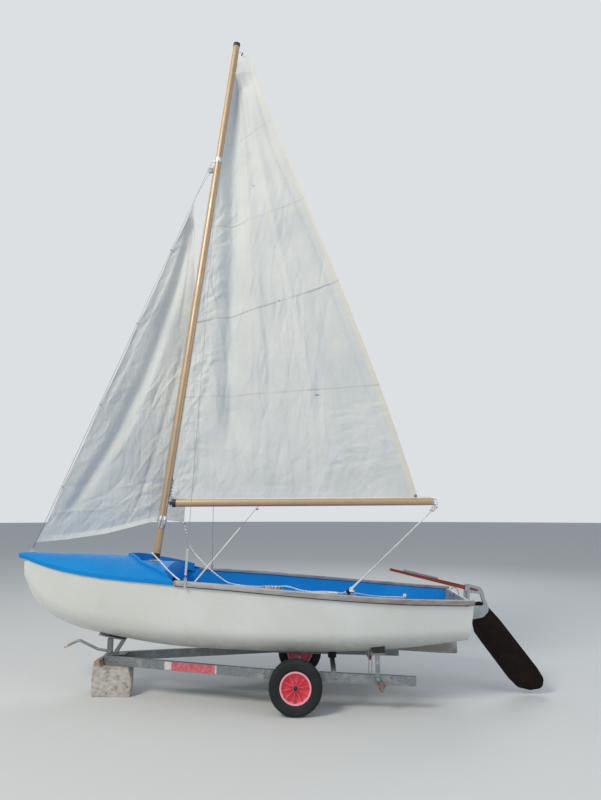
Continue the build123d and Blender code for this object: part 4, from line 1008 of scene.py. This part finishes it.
rail_stations = np.linspace(1536, TRANSOM_AT, 180)
for side, name in SIDES:
    rail = along_sheer(f"rub_rail_{name}_smooth", rail_stations, RAIL, side)
    dress(rail, "rail_grey", None, "boat", f"rub_rail_{name}")
    # a dark bead in the corner under the capping, painting the line of shade there
    under = fair(rail_stations[::4])[:, 1:3] + (4.0, -26.0)
    bead = raked(rail_stations[::4], side * under[:, :1], under[:, 1:])[:, 0]
    dress(tube(f"rail_seal_{name}", bead, 0.0042, 0.03, 6), "black_plastic", SHADE_LINE_BEAD)

# %% [markdown]
# Tyres. A pneumatic barrow tyre: plain side walls with two raised rings, round shoulders, and a tread of
# staggered blocks. It is one profile turned round the axle, and the tread is cut by a formula.

# %% Tyres
WHEEL_OUT, BLOCKS, GROOVE_DEEP = 0.59, 60, 0.0045
# (across, radius) from the bead up the wall to the shoulder
WALL = [(0.031, 0.1195), (0.037, 0.124), (0.0405, 0.132), (0.0432, 0.1405), (0.0452, 0.1425), (0.0447, 0.145),
        (0.0462, 0.156), (0.047, 0.166), (0.0466, 0.175), (0.0472, 0.1775), (0.0458, 0.180), (0.0435, 0.187),
        (0.039, 0.1945), (0.033, 0.1995), (0.028, 0.2012)]


def tyre(side, name, around=360):
    """Profile (across, radius) turned about Y; the tread sinks where its pattern's grooves run."""
    crown = [(x, 0.2030 - 0.9 * x * x) for x in np.linspace(0.026, -0.026, 34)]
    across, radius = np.array(WALL + crown + [(-x, r) for x, r in WALL[::-1]]).T
    off = np.abs(across)
    a = angles(around)[:, None]
    zone = ramp(off, 0.041, -0.006) * ramp(radius, 0.186, 0.006)
    wave = np.cos(BLOCKS * a + 1.2 * np.sign(across) + 40 * off)
    cut = ramp(wave, 0.45, 0.25) + np.exp(-(across / 0.0022) ** 2) + np.exp(-((off - 0.0175) / 0.0018) ** 2)
    r = radius - GROOVE_DEEP * np.clip(cut, 0, 1) * zone
    points = np.stack([AXLE[0] + r * np.sin(a), side * WHEEL_OUT + across + 0 * a, AXLE[2] + r * np.cos(a)], 2)
    made = solid_of(f"tyre_{name}_worn", points, close_u=True, close_v=True)
    dress(made, "tyre_rubber", None, f"wheel_{name}", f"tyre_{name}")


for side, name in SIDES:
    tyre(side, name)

# %% [markdown]
# The lump under the trailer's front end. It was cast by hand and limewashed: soft edges, hollows where air
# was trapped, and corners knocked off. The shape is rings of a four-sided plan drawn in towards the top.

# %% Concrete lump
PLAN = np.array([(1.109, -0.168), (1.036, 0.168), (0.790, 0.168), (0.764, 0.05), (0.766, -0.11), (0.786, -0.168)])


def lump(rings=110, around=220):
    """Ring t of the closed surface: out from the bottom's middle, up the sides and in over the notched top."""
    turn, t = angles(around), np.linspace(0, 1, rings)[:, None]
    gone = np.concatenate([[0], np.cumsum(np.linalg.norm(np.roll(PLAN, -1, 0) - PLAN, axis=1))])
    plan = np.stack([np.interp(turn / (2 * pi) * gone[-1], gone, np.append(PLAN[:, k], PLAN[0, k])) for k in (0, 1)], 1)
    for _ in range(5):
        plan = (np.roll(plan, 1, 0) + 2 * plan + np.roll(plan, -1, 0)) / 4
    middle = plan.mean(0)
    part = np.clip(np.where(t < 0.22, t / 0.22, np.where(t < 0.62, 1.0, (1 - t) / 0.38)), 0, 1)
    round_off = 1 - 0.035 * np.exp(-((t - 0.62) / 0.035) ** 2) - 0.02 * np.exp(-((t - 0.22) / 0.03) ** 2)
    flat = middle + (plan - middle) * (part * round_off)[..., None]
    x, y = flat[..., 0], flat[..., 1]
    step = 1 / (1 + np.exp((x - 0.838) / 0.003))
    top = 0.229 + 0.058 * step - 0.03 * step * ramp(x, 0.815, -0.04) ** 2 - 0.10 * ramp(x, 1.07, 0.04) ** 2
    rise = ramp(t, 0.22, 0.40)
    z = top * rise
    leant = 0.012 * rise * np.sin(2 * turn + 0.6) + 0.006 * np.sin(3 * turn + 5 * z)
    out = (flat - middle) / np.maximum(np.linalg.norm(flat - middle, axis=2, keepdims=True), 1e-6)
    rough = 0.0035 * np.sin(70 * x + 4 * np.sin(31 * y + 40 * z)) * np.sin(63 * z + 3 * np.sin(45 * x))
    rough += 0.002 * np.sin(140 * z + 90 * y + 60 * x)
    on_side = np.clip(12 * rise * (1 - rise), 0, 1)
    moved = flat + out * ((leant + rough) * on_side * np.where(x > 0.80, 1.0, 0.6))[..., None]
    z = z + 0.0008 * np.sin(80 * x) * np.cos(73 * y) * (rise > 0.99)
    return np.stack([moved[..., 0] - LENGTH / 2, moved[..., 1], z], 2)


dress(solid_of("limewashed_lump", lump(), close_v=True), "concrete", None, "boat", "block")

# %% [markdown]
# Small fittings. Each is a turned or cut piece as it comes from the chandler: bolts with washers, a cap on
# the axle, sail slides, a shackle at the tack, an eye in the clew. They are what a thin drawing leaves out
# and what the eye looks for, so each sits where the photograph shows it.

# %% Turned pieces and plates
def turned(name, centre, axis, profile, sides=24, smooth=True):
    """Profile of (along, radius) pairs turned about an axis: centre + along a + radius (e cos t + f sin t)."""
    axis, first, other = square_axes(axis, [0.2, 0.1, 1.0])
    t = angles(sides)[None, :, None]
    along, radius = [np.array(column)[:, None, None] for column in zip(*profile)]
    points = np.array(centre) + axis * along + radius * (first * np.cos(t) + other * np.sin(t))
    return solid_of(name, points, close_v=True, smooth=smooth)


def bolt(centre, axis, size):
    """Hexagon head on a round washer, size across the washer."""
    s = size / 2
    washer = [(-0.002, 0), (-0.002, s), (0.12 * s, s), (0.12 * s, 0)]
    head = [(0, 0), (0, 0.66 * s), (0.5 * s, 0.66 * s), (0.6 * s, 0.52 * s), (0.6 * s, 0)]
    return [turned("bolt_washer", centre, axis, washer), turned("bolt_head", centre, axis, head, 6, False)]


def plug(half, radius):
    """Profile of a plain turned pin, from -half to half along its axis."""
    return [(-half, 0), (-half, radius), (half, radius), (half, 0)]


def flat_plate(name, outline, low, high):
    """Plate of an (x, z) outline between two places across: two rings, and a fan on each face."""
    ring_of = np.array(outline, float)
    middle = 0 * ring_of + ring_of.mean(0)
    rows = [np.stack([shape[:, 0], np.full(len(ring_of), y), shape[:, 1]], 1)
            for shape, y in ((middle, low), (ring_of, low), (ring_of, high), (middle, high))]
    return solid_of(name, np.stack(rows), close_v=True, smooth=False)


# %% Bolts, axle caps and the handle's grip
RAIL_LINE = [(850, 62, 266), (2250, 440, 259), (3410, 490, 226)]  # station, out, height of a rail's bends
RAIL_BOLTS = ((1969, 0.026, 0.016), (2232, 0.008, 0.016), (2802, -0.001, 0.02), (2760, -0.001, 0.016),
              (900, 0.0, 0.022), (960, 0.0, 0.022))               # station, height over the middle, size
AXLE_CAP = [(-0.004, 0), (-0.004, 0.0155), (0.004, 0.0155), (0.008, 0.012), (0.0095, 0.006), (0.0095, 0)]
TAB = [(3104.6, 214), (3150, 223.6), (3178, 200), (3151, 144.6), (3134.6, 148.6)]
GRIP_LOW, GRIP_TOP = at(468, 0, 355), at(593, 0, 411)
GRIP = [(-0.001, 0), (-0.001, 0.0125), (0.03, 0.0125), (0.032, 0.0118), (0.032, 0)]


def rail_face(station):
    """Middle of a rail's outer face at a station, as (distance from the middle line, height, slope)."""
    a, b = RAIL_LINE[:2] if station < RAIL_LINE[1][0] else RAIL_LINE[1:]
    t = (station - a[0]) / (b[0] - a[0])
    slope = (b[1] - a[1]) / (b[0] - a[0])
    return (a[1] + t * (b[1] - a[1]) + 16 * np.hypot(1, slope)) / 1000, (a[2] + t * (b[2] - a[2])) / 1000, slope


bolts = []
for side, _ in SIDES:
    for station, up, size in RAIL_BOLTS:
        out, height, slope = rail_face(station)
        bolts += bolt(at(station) + [0, side * out, height + up], (-slope, side, 0), size)
    bolts += bolt(at(3121, side * 510.5, 236), (0, side, 0), 0.034)
    bolts += bolt(at(3090, side * 470, 419.5), (0, 0, -1), 0.018)
for station in (866, 990):
    for y in (30, -30):
        bolts += bolt(at(station, y, 307), (0, 0, 1), 0.02)
dress(joined("trailer_bolts", bolts), "galvanised")
RUSTY = galvanised("rusted_zinc", 0.75)
for side, name in SIDES:
    dress(turned(f"axle_cap_{name}", AXLE + [0, side * 0.624, 0], (0, side, 0), AXLE_CAP), "black_plastic")
    y = side * 0.5056
    tab = flat_plate(f"rusted_tab_{name}", [at(s, 0, z)[[0, 2]] for s, z in TAB], y - 0.0036, y + 0.0036)
    dress(tab, "galvanised", RUSTY)
dress(turned("handle_end", GRIP_LOW, GRIP_TOP - GRIP_LOW, GRIP), "black_plastic",
      moulded("cream_nylon", "#D9D2C0", "#C4BAA4", 0.5))

# %% [markdown]
# The trailer's own colours. A red band with a white panel at its fore end and a white edge aft runs along
# each rail, of thin self-adhesive film, and a faded tape is wound over each rub rail's fore end.

# %% Coloured film on the rails, and tape on the rub rails' ends
# film: metres proud of the face and over its middle; tape: the rail's profile in mm, just outside it
FILM = ((0.0002, 0.0315), (0.0009, 0.0310), (0.0009, -0.0310), (0.0002, -0.0315))
TAPE = ((-0.4, -24.6), (19.8, -23.7), (21.3, -6), (20.7, 13.7), (-35.7, 14.7), (-36.2, -9.7), (-31.3, -9.7),
        (-31.3, -0.4), (-0.4, -0.4))
RED_FILM = moulded("red_film", "#C4495C", "#CE7C88", 0.45)
WHITE_FILM = moulded("white_film", "#D8D5D4", "#BDBBBA", 0.45)


def strip(low, high, side):
    """Film's section carried along a rail's outer face between two stations."""
    rows = [[(at(s)[0], side * (out + proud), height + up) for proud, up in FILM]
            for s in np.linspace(low, high, 8) for out, height, _ in [rail_face(s)]]
    return solid_of("film_strip", capped(np.array(rows)), close_v=True, smooth=False)


for name, low, high, finish in (("red", 1461.6, 1835, RED_FILM), ("front", 1398, 1461.2, WHITE_FILM),
                                ("edge", 1835.4, 1849, WHITE_FILM)):
    dress(joined(f"rail_film_{name}", [strip(low, high, side) for side, _ in SIDES]), "galvanised", finish)
tapes = [along_sheer("rail_tape", np.linspace(1535, 1550, 6), TAPE, side) for side, _ in SIDES]
dress(joined("rail_end_tape", tapes), "rail_grey", moulded("faded_red_tape", "#B9837C", "#A9736C", 0.55))

# %% [markdown]
# Where the mainsail meets its spars: slides in the mast's track above the gooseneck, a lashing and a shackle
# at the tack, and a pressed eye at the clew that a short line holds out along the boom.

# %% Tack, clew and masthead
slides = [turned("slide", on_mast(up, BEHIND_TRACK), UP_MAST, plug(0.012, 0.007), 12)
          for up in 0.575 + 0.035 * np.arange(5)]
dress(joined("luff_slides", slides), "black_plastic", moulded("grey_nylon", "#5F666E", "#7A828A", 0.5))
wound = np.linspace(0, 34, 60)
wraps = np.stack([0.005 * np.cos(wound), 0.009 * np.sin(wound), 0 * wound], 1)
rope("tack_lashing", on_mast(np.linspace(0.56, 0.72, 60), 0.041) + wraps, 0.0026,
     braid("grey_braid", "#8C9298", "#4E545B", 0.02), step=0.004, sides=8, plait=0.0)
dress(ring("tack_shackle", (-0.925, 0, 1.624), (0, 1, 0), 0.012, 0.0034), "fitting_steel",
      moulded("weathered_shackle", "#4A4E53", "#5E6368", 0.5))
dress(ring("clew_eye", (1.262, -0.002, 1.6425), (0, 1, 0), 0.0085, 0.0032), "black_plastic", None, "boom")
OUTHAUL = [(1.268, 0, 1.6425), (1.32, 0.002, 1.636), (1.385, 0.0, 1.631)]
rope("outhaul", OUTHAUL, 0.0026, ROPE_WHITE, "boom", 0.005, 8, 0.0)
dress(turned("masthead_shackle", (-0.376, 0, 6.205), (0.3, 0, 1), plug(0.017, 0.006), 12), "black_plastic")
HALYARD_TOP = [on_mast(5.19, 0.028), (-0.381, 0, 6.22), (-0.37, 0, 6.19), (-0.33, 0, 6.158)]
wire("main_halyard", HALYARD_TOP, 0.0016, step=0.006)

# %% Webbing ties between the side pads and the rails, and the rudder's line
TIE = ((0, 0.500, 0.446), (-0.002, 0.503, 0.36), (-0.004, 0.497, 0.262))
ties = [tube("tie", [(x + aft, side * out, z) for aft, out, z in TIE], 0.003, 0.02, 6)
        for side, _ in SIDES for x in (0.776, 0.799)]
dress(joined("pad_ties", ties), "sailcloth", moulded("grubby_webbing", "#8E8B7C", "#6E6B5E", 0.85))
RUDDER_LINE = [(1.515, -0.10, 0.800), (1.50, -0.12, 0.83), (1.53, -0.10, 0.868), (1.575, -0.05, 0.855),
               (1.60, -0.03, 0.80)]
rope("rudder_line", RUDDER_LINE, 0.0028, braid("dark_braid", "#2A2D31", "#44494F", 0.02), sides=8, plait=0.0)
